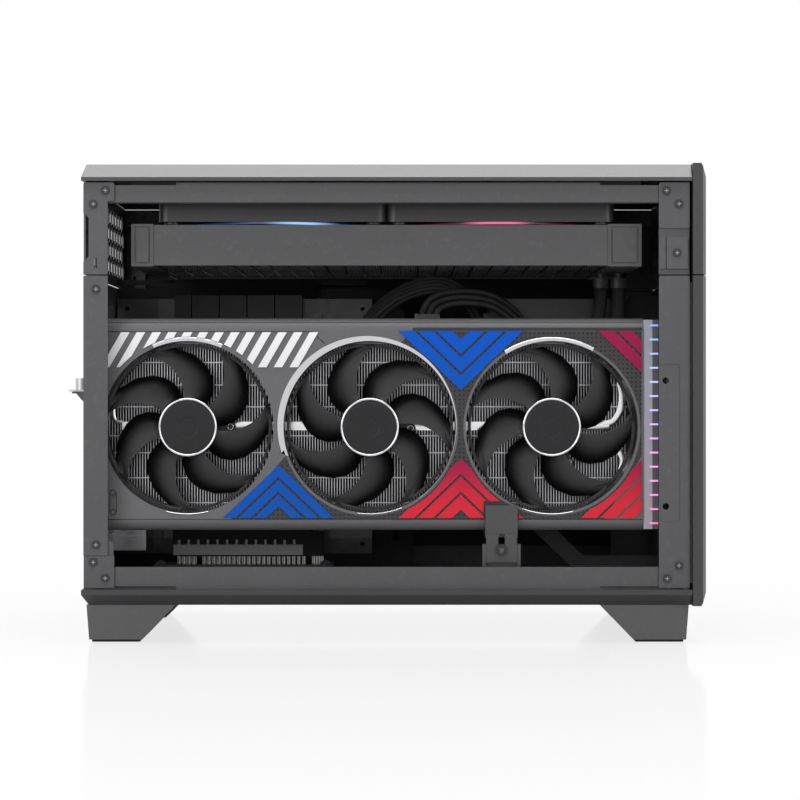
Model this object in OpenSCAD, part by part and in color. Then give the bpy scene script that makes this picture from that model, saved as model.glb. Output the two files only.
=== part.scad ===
// Compact desktop computer case, standing on four feet, with its near side panel off.
// +X is the front, -Y is the open side that faces the viewer, +Z is up.
// The origin is at the middle of the ground rectangle that the whole case covers.

/* [Case] */
// Length from the rear edge of the covers to the face of the front panel
case_l = 378; // [374:1:396]
// Width over both side panels
case_w = 185; // [185:1:205]
// Height from the ground to the top cover
case_h = 290; // [289:1:320]
// Thickness of the folded steel sheet
sheet = 1.2; // [0.8:0.1:1.4]
// Depth from the covers' outer edge in to the steel rails
recess = 4; // [3.8:0.1:5]

/* [Covers and feet] */
// Height of the feet below the bottom cover
foot_h = 22.7; // [16:0.5:30]
// Length of a foot where it meets the cover
foot_l = 54; // [44:1:60]
// Length of a foot's sole
sole_l = 32; // [24:1:42]
// Width of a foot across the case
foot_w = 34; // [24:1:40]
// Height of the bottom cover
bottom_cover_h = 9.8; // [9:0.2:12]
// Height of the top cover
top_cover_h = 10.8; // [10:0.2:13]
// Width of the bevel along the covers' long edges
bevel_w = 9; // [6:0.5:11]
// Wall thickness of the plastic covers
wall = 2; // [1.6:0.1:2.6]
// Depth of the front panel
front_t = 9; // [8:0.5:14]

/* [Steel frame] */
// Height of the bottom rails
bottom_rail_h = 15; // [10:0.5:18]
// Height of the top rails
top_rail_h = 12; // [8:0.5:12.5]
// Width of the rear posts
rear_post_w = 14.7; // [10:0.5:17]
// Width of the front posts
front_post_w = 18.5; // [14:0.5:24]
// Height of the upper section that holds the radiator
upper_h = 67.5; // [66:0.5:72]
// Distance between the honeycomb holes
comb_pitch = 12.4; // [11:0.2:16]
// Width of a honeycomb hole across its corners
comb_hole = 11; // [7:0.5:12.5]
// Distance between the wider holes of the side, top and front vents
vent_pitch = 14.6; // [13.5:0.1:18]

/* [Graphics card] */
// Length of the card
gpu_l = 346.6; // [346:0.2:354]
// Height of the card's shroud
gpu_h = 129.8; // [126:0.5:132]
// Thickness of the card from its face to its backplate
gpu_t = 68; // [64:0.5:72]
// Distance from the open side to the card's face
gpu_setback = 16; // [12:0.5:20]
// Height of the card above the floor sheet
gpu_lift = 35; // [33:0.5:38]
// Distance between neighbouring fan axes
gpu_pitch = 111.3; // [110.5:0.1:113]
// Radius of the shroud's fan openings
gpu_duct_r = 52.6; // [50:0.2:53]
// Radius of the round cap at the middle of a card fan
gpu_hub_r = 17.6; // [15:0.2:20]
// Number of blades of a card fan
gpu_blades = 7; // [5:1:9]

/* [Radiator] */
// Length of the radiator with its end tanks
rad_l = 313; // [306:1:320]
// Width of the radiator across the case
rad_w = 139; // [130:1:142]
// Thickness of the radiator
rad_t = 26; // [25:0.5:28]
// Length of the rear end tank
tank_rear = 13.6; // [10:0.2:18]
// Length of the front end tank, which holds the hose fittings
tank_front = 20.7; // [19:0.2:24]
// Side of a square radiator fan
fan_side = 140; // [136:1:140]
// Thickness of a radiator fan
fan_t = 25; // [22:0.5:25.4]
// Outer diameter of a coolant hose
hose_d = 8.6; // [7:0.2:9]

/* [Power supply] */
// Depth of the power supply along the case
psu_l = 100; // [96:1:104]
// Thickness of the power supply across the case
psu_t = 63.5; // [60:0.5:64]
// Height of the power supply as it stands
psu_h = 125; // [120:1:126]

/* [Main board] */
// Side of the square main board
board = 170; // [168:0.5:171]
// Room between the card's backplate and the main board
cooler_room = 46; // [44:0.5:50]

/* [Hidden] */
$fn = 48;

steel_black = [0.23, 0.23, 0.24];
plastic_black = [0.25, 0.25, 0.26];
deep_black = [0.06, 0.06, 0.07];
vent_hole = vent_pitch - 1.4;
fit = 0.3;              // gap between pieces that are laid or slid together
running = 0.05;         // radial gap of a fan's bore round its pin

// Overall limits. The card's fixing tab stands out behind the rear panel.
tab_reach = 10;
x_front = (case_l + tab_reach) / 2;
x_rear = x_front - case_l;
y_near = -case_w / 2;
y_far = case_w / 2;

// Planes of the steel frame
wall_rear = x_rear + 1;                 // outer face of the rear sheet
wall_front = x_front - front_t - 1.7;   // outer face of the front sheet
cover_end = x_front - front_t - 0.4;    // where the long covers meet the front panel
y_rail = case_w / 2 - recess;           // outer face of the rails, both sides
lip = 1.5;                              // how far the bottom cover's lip rises past the floor sheet
z_floor = foot_h + bottom_cover_h - lip;
z_deck = z_floor + sheet;
z_cover = case_h - top_cover_h;
z_rail_top = z_cover - 0.7;
z_split = case_h - upper_h;
split_gap = 0.8;
corner_w = 18;
corner_h = 21.7;

// Graphics card
gpu_x = wall_rear + sheet + 1.4;
gpu_end = gpu_x + gpu_l;
bar_w = 9;
shroud_end = gpu_end - bar_w;
gpu_y = y_near + gpu_setback;
gpu_back = gpu_y + gpu_t;
gpu_z = z_deck + gpu_lift;
gpu_top = gpu_z + gpu_h;
gpu_mid = gpu_z + gpu_h / 2 - 1.7;
gpu_fan_x = [for (i = [0:2]) gpu_x + 58.9 + i * gpu_pitch];
shroud_depth = 40.5;
shroud_wall = 2.4;
shroud_round = 7;
duct_depth = 18;
backplate_t = 1.9;
pcb_t = 1.6;
gpu_pcb_y = gpu_back - backplate_t - pcb_t;

// Radiator and its fans
rad_x = (x_rear + cover_end) / 2 - rad_l / 2 - 0.3;
rad_y = y_near + 21;
rad_z1 = case_h - 35;
rad_z0 = rad_z1 - rad_t;
pad_h = 1.3;
fan_z = rad_z1 + pad_h;
bracket_z = fan_z + fan_t;
fan_mid_x = rad_x + rad_l / 2;
fan_mid_y = rad_y + rad_w / 2;
fan_bore = fan_side / 2 - 3.5;

// Main board and its tray
board_x = wall_rear + sheet + 1.4;
board_z = z_deck + 12.3;
board_y = gpu_back + cooler_room;
standoff_h = 6.4;
tray_y = board_y + pcb_t + standoff_h;
hole_in = 6.35;
pump_z = board_z + 85;
pump_x = board_x + 82;
pump_r = 30;

// Power supply
psu_y = gpu_back + 16;
psu_x1 = wall_front - sheet - 15;
psu_x0 = psu_x1 - psu_l;
psu_z0 = z_deck + 55.8;
psu_fan_r = 45;

// Slots for expansion cards in the rear panel
slot_y0 = gpu_y - 0.5;
slot_y1 = slot_y0 + 61;
slot_z0 = gpu_z - 22;
tab_z = gpu_z + 85;     // underside of the card's fixing tab

// Front connections
io_z = z_split + 33;
power_y = -60;
reset_y = -42;
usb_y = [-20, 2];
jack_y = 22;
button_travel = 1.4;

// A block between two corners, given as ranges along each axis
module block(x, y, z)
    translate([x[0], y[0], z[0]]) cube([x[1] - x[0], y[1] - y[0], z[1] - z[0]]);

// Sheets cut from a flat outline: drawn in XZ, YZ or XY, and t thick from the given plane
module sheet_y(y, t = sheet) translate([0, y + t, 0]) rotate([90, 0, 0]) linear_extrude(t) children();
module sheet_x(x, t = sheet) translate([x, 0, 0]) rotate([90, 0, 90]) linear_extrude(t) children();
module sheet_z(z, t = sheet) translate([0, 0, z]) linear_extrude(t) children();

// Flat shapes
module area(x, y) translate([x[0], y[0]]) square([x[1] - x[0], y[1] - y[0]]);
module round_area(x, y, r) {
    area([x[0] + r, x[1] - r], y);
    area(x, [y[0] + r, y[1] - r]);
    for (cx = [x[0] + r, x[1] - r], cy = [y[0] + r, y[1] - r]) translate([cx, cy]) circle(r, $fn = 32);
}
// Staggered six-sided holes that fill a rectangle
module honeycomb(x, y, pitch = comb_pitch, hole = comb_hole) {
    row = pitch * sqrt(3) / 2;
    nx = floor((x[1] - x[0] - hole) / pitch);
    ny = floor((y[1] - y[0] - hole) / row);
    for (j = [0:ny], i = [0:nx - j % 2])
        translate([(x[0] + x[1]) / 2 + (i - nx / 2 + (j % 2) / 2) * pitch, (y[0] + y[1]) / 2 + (j - ny / 2) * row])
            rotate(30) circle(d = hole, $fn = 6);
}
// The same holes, kept to the inside of a circle
module round_comb(r, pitch = comb_pitch, hole = comb_hole) {
    row = pitch * sqrt(3) / 2;
    n = ceil(r / row);
    for (j = [-n:n], i = [-n:n]) let (x = (i + abs(j % 2) / 2) * pitch, y = j * row)
        if (norm([x, y]) < r - hole / 2) translate([x, y]) rotate(30) circle(d = hole, $fn = 6);
}
// Straight holes and pins along each axis
module rod_x(x, y, z, r) translate([x[0], y, z]) rotate([0, 90, 0]) cylinder(r = r, h = x[1] - x[0]);
module rod_y(x, y, z, r) translate([x, y[1], z]) rotate([90, 0, 0]) cylinder(r = r, h = y[1] - y[0]);
module rod_z(x, y, z, r) translate([x, y, z[0]]) cylinder(r = r, h = z[1] - z[0]);
module both_sides() for (s = [0, 1]) mirror([0, s, 0]) children();

// Steel frame

// Screw places on the near and far faces of the frame, as [x, z]
rear_top_screws = [[x_rear + 14.2, z_rail_top - 4.9], [x_rear + 7, z_rail_top - 13.1]];
front_top_screws = [[wall_front - 14, z_rail_top - 5], [wall_front - 6.4, z_rail_top - 13]];
rear_low_screws = [[x_rear + 7, z_floor + 18], [x_rear + 14.2, z_floor + 8.4]];
front_low_screws = [[wall_front - 6.4, z_floor + 16], [wall_front - 13.6, z_floor + 8.2]];
post_screws = [[x_rear + 8.6, z_split - 8.5], [x_rear + 8.6, z_floor + 28.5]];
screw_r = 2.6;

module screw_holes(places) for (p = places) translate(p) circle(r = 1.6, $fn = 24);

hook_l = 50;
hook_x = [wall_rear + 6, wall_front - 4 - hook_l];
module hook_spans(z, h) for (x = hook_x) area([x, x + hook_l], [z, z + h]);

module bottom_rail()
    sheet_y(-y_rail) difference() {
        area([wall_rear + sheet, wall_front - sheet], [z_floor, z_floor + bottom_rail_h]);
        hook_spans(panel_z[0] - fit, sheet + 2 * fit);
        screw_holes([rear_low_screws[1], front_low_screws[0], front_low_screws[1]]);
    }

module rear_foot_plate()
    sheet_y(-y_rail - sheet) difference() {
        area([wall_rear + 0.6, wall_rear + 0.6 + corner_w], [z_floor + 2.4, z_floor + corner_h]);
        screw_holes(rear_low_screws);
    }

module rear_foot_tab()
    sheet_y(-y_rail) difference() {
        union() {
            area([wall_rear + sheet, wall_rear + corner_w], [z_floor + bottom_rail_h - 1, z_floor + corner_h + 5.6]);
            area([wall_rear + sheet, wall_rear + corner_w - 4], [z_floor + corner_h + 5, z_floor + corner_h + 9.6]);
            translate([wall_rear + corner_w - 4, z_floor + corner_h + 5.6]) circle(4);
        }
        screw_holes([rear_low_screws[0], post_screws[1]]);
    }

base_fan_r = 56;
base_fan_x = [-72, 72];
module base_panel() color(steel_black) {
    sheet_z(z_floor) difference() {
        area([wall_rear + sheet, wall_front - sheet], [-y_rail, y_rail]);
        for (x = base_fan_x) translate([x, 0]) round_comb(base_fan_r);
    }
    both_sides() {
        bottom_rail();
        rear_foot_plate();
        rear_foot_tab();
    }
}

module rear_post()
    sheet_y(-y_rail - sheet) difference() {
        area([wall_rear, wall_rear + rear_post_w], [z_floor + corner_h + 0.3, z_split - split_gap / 2]);
        screw_holes(post_screws);
    }

shelf_y = [slot_y0 - 3, slot_y1 + 3];
io_span_y = [board_y - 45, board_y - 0.5];
io_span_z = [board_z + 5, board_z + 164];
inlet_y = tray_y + 20.5;
inlet_z = z_deck + 42;
module rear_panel() color(steel_black) difference() {
    union() {
        sheet_x(wall_rear) difference() {
            area([-y_rail, y_rail], [z_deck, z_split - split_gap / 2]);
            area([slot_y0, slot_y1], [slot_z0, tab_z - sheet]);
            area([slot_y0, slot_y1], [tab_z - 0.1, tab_z + sheet + 0.6]);
            area(io_span_y, io_span_z);
            area([inlet_y - 14, inlet_y + 14], [inlet_z - 12, inlet_z + 12]);
            for (s = [-1, 1]) translate([inlet_y, inlet_z + s * 20]) circle(1.6);
            honeycomb([tray_y + 6, y_rail - 4], [inlet_z + 34, z_split - 6]);
        }
        both_sides() rear_post();
        // Outward shelf under the card's tab, with a gusset at each end
        block([x_rear - tab_reach + 2.5, wall_rear], shelf_y, [tab_z - sheet, tab_z]);
        for (y = [shelf_y[0], shelf_y[1] - sheet])
            sheet_y(y) polygon([[wall_rear, tab_z - 8], [wall_rear, tab_z - sheet], [wall_rear - 6, tab_z - sheet]]);
        block([wall_rear, wall_rear + sheet], [slot_y0, slot_y1], [tab_z - sheet - 0.1, tab_z - 0.1]);
    }
    for (i = [0:2]) rod_z(wall_rear - 5, slot_y0 + 12 + i * 20.3, [tab_z - 5, tab_z + 1], 1.9);
}

post_hole_z = [gpu_z + 15.5, gpu_z + 91.5];
front_post_x = wall_front - front_post_w;
module front_post()
    difference() {
        sheet_y(-y_rail - sheet) difference() {
            round_area([front_post_x, wall_front], [z_floor + 2.4, z_split - split_gap / 2], 1);
            screw_holes(front_low_screws);
            for (z = post_hole_z) translate([front_post_x + 4.2, z]) circle(2, $fn = 32);
        }
        // Pressed panel, set back into the sheet
        sheet_y(-y_rail - sheet - 0.5, 1)
            round_area([front_post_x - 4, front_post_x + 12.7], [post_hole_z[0] - 9.4, post_hole_z[1] + 10.2], 2);
    }

module front_frame() color(steel_black) {
    sheet_x(wall_front - sheet) difference() {
        area([-y_rail, y_rail], [z_deck, z_split - split_gap / 2]);
        round_area([-70, 70], [z_deck + 18, z_split - 22], 6);
    }
    both_sides() front_post();
}

module top_rail() {
    sheet_y(-y_rail) difference() {
        area([wall_rear + sheet, wall_front - sheet], [z_rail_top - top_rail_h, z_rail_top]);
        hook_spans(z_rail_top - 1.6, 3);
        screw_holes(concat(rear_top_screws, front_top_screws));
    }
    block([wall_rear + sheet, wall_front - sheet], [-y_rail + sheet, -y_rail + 8],
        [z_rail_top - top_rail_h, z_rail_top - top_rail_h + sheet]);
}

// Rear upper post: a wide head on a narrower strip, with a bite out of its outer edge
module rear_head_plate() {
    bite = [z_split + 8, z_split + 37.8];
    sheet_y(-y_rail - sheet) difference() {
        union() {
            round_area([wall_rear, wall_rear + 18.7], [z_rail_top - 11.2, z_rail_top], 1.5);
            area([wall_rear, wall_rear + rear_post_w], [z_split + split_gap / 2, z_rail_top - 2]);
        }
        polygon([[wall_rear - 1, bite[0] - 1], [wall_rear + 3.2, bite[0] + 3.2],
            [wall_rear + 3.2, bite[1] - 3.2], [wall_rear - 1, bite[1] + 1]]);
        area([wall_rear + 6.4, wall_rear + 8.2], [z_split + 4.2, z_split + 10.4]);
        screw_holes(rear_top_screws);
    }
}

// Front upper post: a plate at the top, and a narrow strip beside the latch bracket
latch_x = [wall_front - 14, wall_front - 1.3];
latch_z = [z_split + 3.8, z_split + 23];
latch_out = sheet + 0.6;        // how far the clip stands out from the rails
module front_head_plate()
    sheet_y(-y_rail - sheet) difference() {
        union() {
            round_area([front_post_x, wall_front], [latch_z[1] + 5.4, z_rail_top], 1.2);
            area([front_post_x, latch_x[0] - 0.5], [latch_z[0], latch_z[1] + 0.2]);
        }
        screw_holes(front_top_screws);
    }

module front_head_backing()
    sheet_y(-y_rail) difference() {
        area([front_post_x, wall_front - sheet], [z_split + split_gap / 2, z_rail_top - top_rail_h]);
        screw_holes([[(latch_x[0] + latch_x[1]) / 2, (latch_z[0] + latch_z[1]) / 2], front_top_screws[1]]);
    }

module top_frame() color(steel_black) {
    sheet_x(wall_rear) difference() {
        area([-y_rail, y_rail], [z_split + split_gap / 2, z_rail_top]);
        honeycomb([-y_rail + 26, y_rail - 4], [z_split + 3, z_rail_top - 3]);
    }
    sheet_x(wall_front - sheet) difference() {
        area([-y_rail, y_rail], [z_split + split_gap / 2, z_rail_top]);
        area([power_y - 12, jack_y + 9], [io_z - 10, io_z + 10]);
        honeycomb([jack_y + 14, y_rail - 4], [io_z - 24, io_z + 18]);
    }
    both_sides() {
        top_rail();
        rear_head_plate();
        front_head_plate();
        front_head_backing();
    }
}

// Removable bridge that the radiator fans hang from
module fan_bracket() color(steel_black) {
    half_l = fan_side + 14;
    reach = y_rail - sheet;
    sheet_z(bracket_z) difference() {
        area([fan_mid_x - half_l, fan_mid_x + half_l], [-reach, reach]);
        for (s = [-1, 1]) translate([fan_mid_x + s * fan_side / 2, fan_mid_y]) {
            circle(fan_bore - 1, $fn = 96);
            for (a = [-1, 1], b = [-1, 1]) translate([a * (fan_side / 2 - 7.75), b * (fan_side / 2 - 7.75)])
                circle(2.2, $fn = 24);
        }
    }
    both_sides() for (x = [fan_mid_x - half_l, fan_mid_x + half_l - 90])
        block([x, x + 90], [-reach, -reach + sheet], [z_rail_top - 8, bracket_z]);
}

// Folded clip that ties the upper section to the front post
module latch_bracket() color(steel_black) {
    mid = (latch_z[0] + latch_z[1]) / 2;
    both_sides() difference() {
        union() {
            block(latch_x, [-y_rail - latch_out, -y_rail - latch_out + sheet], latch_z);
            for (z = [latch_z[0], latch_z[1] - sheet])
                block([latch_x[0], latch_x[1] + 0.7], [-y_rail - latch_out, -y_rail], [z, z + sheet]);
        }
        rod_y((latch_x[0] + latch_x[1]) / 2, [-y_rail - 4, -y_rail + 1], mid, 1.6);
    }
}

// Upright sheet behind the main board, with a scooped top edge and a stiffening bar above it
module board_tray() color(steel_black) {
    x0 = wall_rear + sheet;
    x1 = board_x + board + 22;
    top = board_z + board + 7.5;
    scoop = [board_x + 36, board_x + 136];
    sheet_y(tray_y) difference() {
        union() {
            polygon([[x0, z_deck], [x1 + 6, z_deck], [x1 + 6, board_z + 20], [x1, board_z + 26],
                [x1, top - 16], [x1 - 16, top], [x0, top]]);
            area([x0, board_x + board - 4], [top + 2.5, top + 5.5]);
            for (x = [board_x + 8, board_x + board - 12]) area([x, x + 2], [top - 1, top + 3]);
        }
        hull() for (x = scoop) translate([x + (x == scoop[0] ? 8 : -8), top]) circle(8);
        area([board_x + 30, board_x + 140], [board_z + 40, board_z + 130]);
        for (x = [hole_in, board - hole_in], z = [hole_in, board - hole_in])
            translate([board_x + x, board_z + z]) circle(1.6, $fn = 24);
        // Keyhole for the riser's support
        translate([x1 - 6, board_z + 10]) circle(2.2, $fn = 24);
        area([x1 - 7.2, x1 - 4.8], [board_z + 10, board_z + 20]);
    }
    // Side flange against the rear sheet, and foot flange on the floor
    block([x0, x0 + sheet], [tray_y + sheet, tray_y + 12], [z_deck + 2, inlet_z - 28]);
    block([x0 + 30, x1], [tray_y + sheet, tray_y + 12], [z_deck, z_deck + sheet]);
    for (x = [hole_in, board - hole_in], z = [hole_in, board - hole_in])
        difference() {
            rod_y(board_x + x, [board_y + pcb_t, tray_y], board_z + z, 3);
            rod_y(board_x + x, [board_y + pcb_t - 1, tray_y + 1], board_z + z, 1.6);
        }
}

// Covers, feet and panels

// Solid with bevelled long edges: the overlap of a cross-section and a side outline
module bevelled(cross, side) intersection() {
    translate([x_rear - 20, 0, 0]) rotate([90, 0, 90]) linear_extrude(case_l + 40) polygon(cross);
    translate([0, case_w, 0]) rotate([90, 0, 0]) linear_extrude(case_w * 2) polygon(side);
}

filter_half = 56;
filter_z = foot_h + 1.5;
module bottom_cover() color(plastic_black) {
    top = foot_h + bottom_cover_h;
    edge = top - 3;
    bw = bevel_w - 1;
    foot_x = [x_rear + 2, cover_end - 2 - foot_l];
    difference() {
        bevelled(
            [[y_near, edge], [y_near + bw, foot_h], [y_far - bw, foot_h], [y_far, edge], [y_far, top], [y_near, top]],
            [[x_rear, edge], [x_rear + 3.5, foot_h], [cover_end, foot_h], [cover_end, top], [x_rear, top]]);
        // Seat for the steel floor
        block([wall_rear - 0.2, wall_front + 0.2], [-y_rail - fit, y_rail + fit], [z_floor, top + 1]);
        block([wall_front - 1, cover_end + 1], [-y_rail - fit, y_rail + fit], [z_floor, top + 1]);
        // Room for the corner plates, outside the rails
        block([wall_rear - 0.2, wall_front + 0.2], [-y_rail - sheet - fit, y_rail + sheet + fit],
            [z_floor + 1, top + 1]);
        // Air window, and the rails that the dust filter slides in
        block([-150, 150], [-50, 50], [foot_h - 1, z_floor + 1]);
        block([x_rear - 1, 160], [-filter_half - fit, filter_half + fit], [filter_z - fit, filter_z + 2.5 + fit]);
        block([x_rear - 1, 160], [-50, 50], [foot_h - 1, filter_z]);
    }
}

module bottom_filter() color(deep_black) {
    x0 = x_rear + 1.5;
    x1 = 159;
    difference() {
        block([x0, x1], [-filter_half, filter_half], [filter_z, filter_z + 2.5]);
        for (i = [0:7], j = [0:2])
            block([x0 + 34 + i * 36.5, x0 + 67 + i * 36.5], [-47 + j * 32, -17 + j * 32],
                [filter_z - 1, filter_z + 3]);
    }
    block([x0, x0 + 3], [-16, 16], [filter_z - 2, filter_z]);
}

// A foot with a raked sole, drawn for the rear near corner
module foot() difference() {
    sheet_y(y_near + bevel_w - 0.5, foot_w)
        polygon([[0, foot_h], [foot_l, foot_h], [sole_l + 1.6, 1.6], [1.6, 1.6]]);
    rod_z(20, y_near + bevel_w + foot_w / 2, [0, 8], 5);
}
foot_dx = x_rear + 2;
module place_foot(front, far)
    translate([front ? cover_end - 1 : foot_dx, 0, 0]) mirror([front ? 1 : 0, 0, 0]) mirror([0, far ? 1 : 0, 0])
        children();
module foot_rear_near() color(plastic_black) place_foot(false, false) foot();
module foot_rear_far() color(plastic_black) place_foot(false, true) foot();
module foot_front_near() color(plastic_black) place_foot(true, false) foot();
module foot_front_far() color(plastic_black) place_foot(true, true) foot();
module foot_pads() color(deep_black)
    for (front = [false, true], far = [false, true]) place_foot(front, far)
        block([3, sole_l], [y_near + bevel_w + 2, y_near + bevel_w + foot_w - 3], [0, 1.6]);

window_x = [x_rear + 24, cover_end - 24];
window_y = 68;
module top_cover() color(plastic_black) {
    ridge = z_cover + 2.2;
    run = bevel_w / (case_h - ridge);       // slope of the bevel
    difference() {
        bevelled(
            [[y_near, z_cover], [y_near, ridge], [y_near + bevel_w, case_h], [y_far - bevel_w, case_h],
                [y_far, ridge], [y_far, z_cover]],
            [[x_rear, z_cover], [x_rear, ridge], [x_rear + 2, case_h], [cover_end, case_h], [cover_end, z_cover]]);
        bevelled(
            [[y_near + wall + 0.2, z_cover - 1], [y_near + wall + 0.2, ridge - 0.8],
                [y_near + wall + 0.2 + run * (case_h - wall - ridge + 0.8), case_h - wall],
                [y_far - wall - 0.2 - run * (case_h - wall - ridge + 0.8), case_h - wall],
                [y_far - wall - 0.2, ridge - 0.8], [y_far - wall - 0.2, z_cover - 1]],
            [[x_rear + wall, z_cover - 1], [x_rear + wall, case_h - wall], [cover_end - wall, case_h - wall],
                [cover_end - wall, z_cover - 1]]);
        block(window_x, [-window_y, window_y], [case_h - wall - 1, case_h + 1]);
    }
}

module top_mesh() color(deep_black)
    sheet_z(case_h - wall - sheet) difference() {
        area([window_x[0] - 5, window_x[1] + 5], [-window_y - 5, window_y + 5]);
        honeycomb(window_x, [-window_y, window_y], vent_pitch, vent_hole);
    }

// Pull-off steel side with folded edges, hooks and two vents
panel_x = [x_rear + 0.6, cover_end - 0.4];
panel_z = [foot_h + bottom_cover_h + 0.4, z_cover - 0.4];
module side_panel() color(steel_black) {
    sheet_y(y_far - sheet) difference() {
        area(panel_x, panel_z);
        honeycomb([-156, 6], [z_deck + 60, z_deck + 178], vent_pitch, vent_hole);
        honeycomb([74, 162], [z_deck + 60, z_deck + 178], vent_pitch, vent_hole);
    }
    fold = [y_rail + sheet + fit, y_far - sheet];
    block([panel_x[0], panel_x[0] + sheet], fold, panel_z);
    block([panel_x[1] - sheet, panel_x[1]], fold, panel_z);
    for (z = [panel_z[0], panel_z[1] - sheet]) block([panel_x[0] + sheet, panel_x[1] - sheet], fold, [z, z + sheet]);
    for (x = [[hook_x[0] + 17, hook_x[0] + hook_l - 8], [hook_x[1] + 8, hook_x[1] + hook_l - 25]]) {
        block(x, [y_rail - sheet + 0.1, fold[0]], [z_rail_top - 1.2, z_rail_top - 0.2]);
        block(x, fold, [z_rail_top - 1.2, panel_z[1] - sheet]);
        block(x, [y_rail - sheet + 0.1, fold[0]], [panel_z[0], panel_z[0] + sheet]);
    }
}

// Front panel: a lower part that pulls off, with a mesh, and a fixed upper part with the connections
front_bevel = [3, 8.5];         // how far the face is set back at the sides, and over what width
front_ends = [4, 7.6];          // the same at the top and bottom ends
module front_shell(z0, z1, bevel_bottom, bevel_top) {
    f0 = x_front - front_t;
    intersection() {
        sheet_z(z0, z1 - z0) polygon([[f0, y_near], [x_front - front_bevel[0], y_near],
            [x_front, y_near + front_bevel[1]], [x_front, y_far - front_bevel[1]],
            [x_front - front_bevel[0], y_far], [f0, y_far]]);
        translate([0, case_w, 0]) rotate([90, 0, 0]) linear_extrude(case_w * 2) polygon([[f0, z0],
            [x_front - (bevel_bottom ? front_ends[0] : 0), z0], [x_front, z0 + (bevel_bottom ? front_ends[1] : 0)],
            [x_front, z1 - (bevel_top ? front_ends[1] : 0)], [x_front - (bevel_top ? front_ends[0] : 0), z1], [f0, z1]]);
    }
}

mesh_y = 76;
mesh_z = [z_deck + 14, z_split - 14];
module front_cover() color(plastic_black) {
    z0 = foot_h;
    z1 = z_split - split_gap / 2;
    f0 = x_front - front_t;
    difference() {
        front_shell(z0, z1, true, false);
        block([f0 - 1, x_front - wall], [y_near + front_bevel[1], y_far - front_bevel[1]],
            [z0 + front_ends[1], z1 - wall]);
        block([x_front - wall - 1, x_front + 1], [-mesh_y, mesh_y], mesh_z);
    }
    // Notched lip that stands in the slit between the frame and the panel
    both_sides() difference() {
        block([wall_front + 0.4, f0], [-y_rail, -y_rail + sheet], [z_deck + 4, z1 - 4]);
        for (i = [0:22]) block([wall_front, f0 - 0.4], [-y_rail - 1, -y_rail + 0.7],
            [z_deck + 8 + i * 7.6, z_deck + 12 + i * 7.6]);
    }
}

module front_mesh() color(deep_black)
    sheet_x(x_front - wall - sheet) difference() {
        area([-mesh_y - 5, mesh_y + 5], [mesh_z[0] - 5, mesh_z[1] + 5]);
        honeycomb([-mesh_y, mesh_y], mesh_z, vent_pitch, vent_hole);
    }

module front_io_cover() color(plastic_black) {
    z0 = z_split + split_gap / 2;
    f0 = x_front - front_t;
    difference() {
        front_shell(z0, case_h, false, true);
        block([f0 - 1, x_front - wall], [y_near + front_bevel[1], y_far - front_bevel[1]],
            [z0 + wall, case_h - front_ends[1]]);
        rod_x([x_front - 4, x_front + 1], power_y, io_z, 8);
        rod_x([x_front - 4, x_front + 1], reset_y, io_z, 3);
        for (y = usb_y) block([x_front - 4, x_front + 1], [y - 6.8, y + 6.8], [io_z - 3.2, io_z + 3.2]);
        rod_x([x_front - 4, x_front + 1], jack_y, io_z, 3.4);
    }
}

// Sockets and switches on their small board, which stands on four posts behind the panel
ports_x = wall_front - sheet - 4;
module front_ports() {
    color("darkgreen") block([ports_x - pcb_t, ports_x], [power_y - 10, jack_y + 7], [io_z - 13, io_z + 13]);
    color("silver") {
        for (y = usb_y) difference() {
            block([ports_x, x_front - 0.4], [y - 6.6, y + 6.6], [io_z - 2.9, io_z + 2.9]);
            block([ports_x + 6, x_front + 1], [y - 6.1, y + 6.1], [io_z - 2.4, io_z + 2.4]);
        }
        for (y = usb_y) block([ports_x + 6, x_front - 1.4], [y - 5.4, y + 5.4], [io_z + 0.2, io_z + 1.9]);
        difference() {
            rod_x([ports_x, x_front - 0.4], jack_y, io_z, 3.1);
            rod_x([ports_x + 4, x_front + 1], jack_y, io_z, 1.8);
        }
        for (y = [power_y, reset_y]) rod_x([ports_x, x_front - 9.3], y, io_z, 1.5);
        for (y = [power_y - 7, jack_y + 4], z = [-11.3, 11.3])
            rod_x([ports_x, ports_x + 4], y, io_z + z, 1.7);
    }
}

module button(y, r) {
    rod_x([x_front - 3.5, x_front - 0.2], y, io_z, r - 0.2);
    rod_x([x_front - 7.5, x_front - 3.5], y, io_z, 1.3);
}
module power_button() color(plastic_black) button(power_y, 8);
module reset_button() color(plastic_black) button(reset_y, 3);

// Fans

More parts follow.
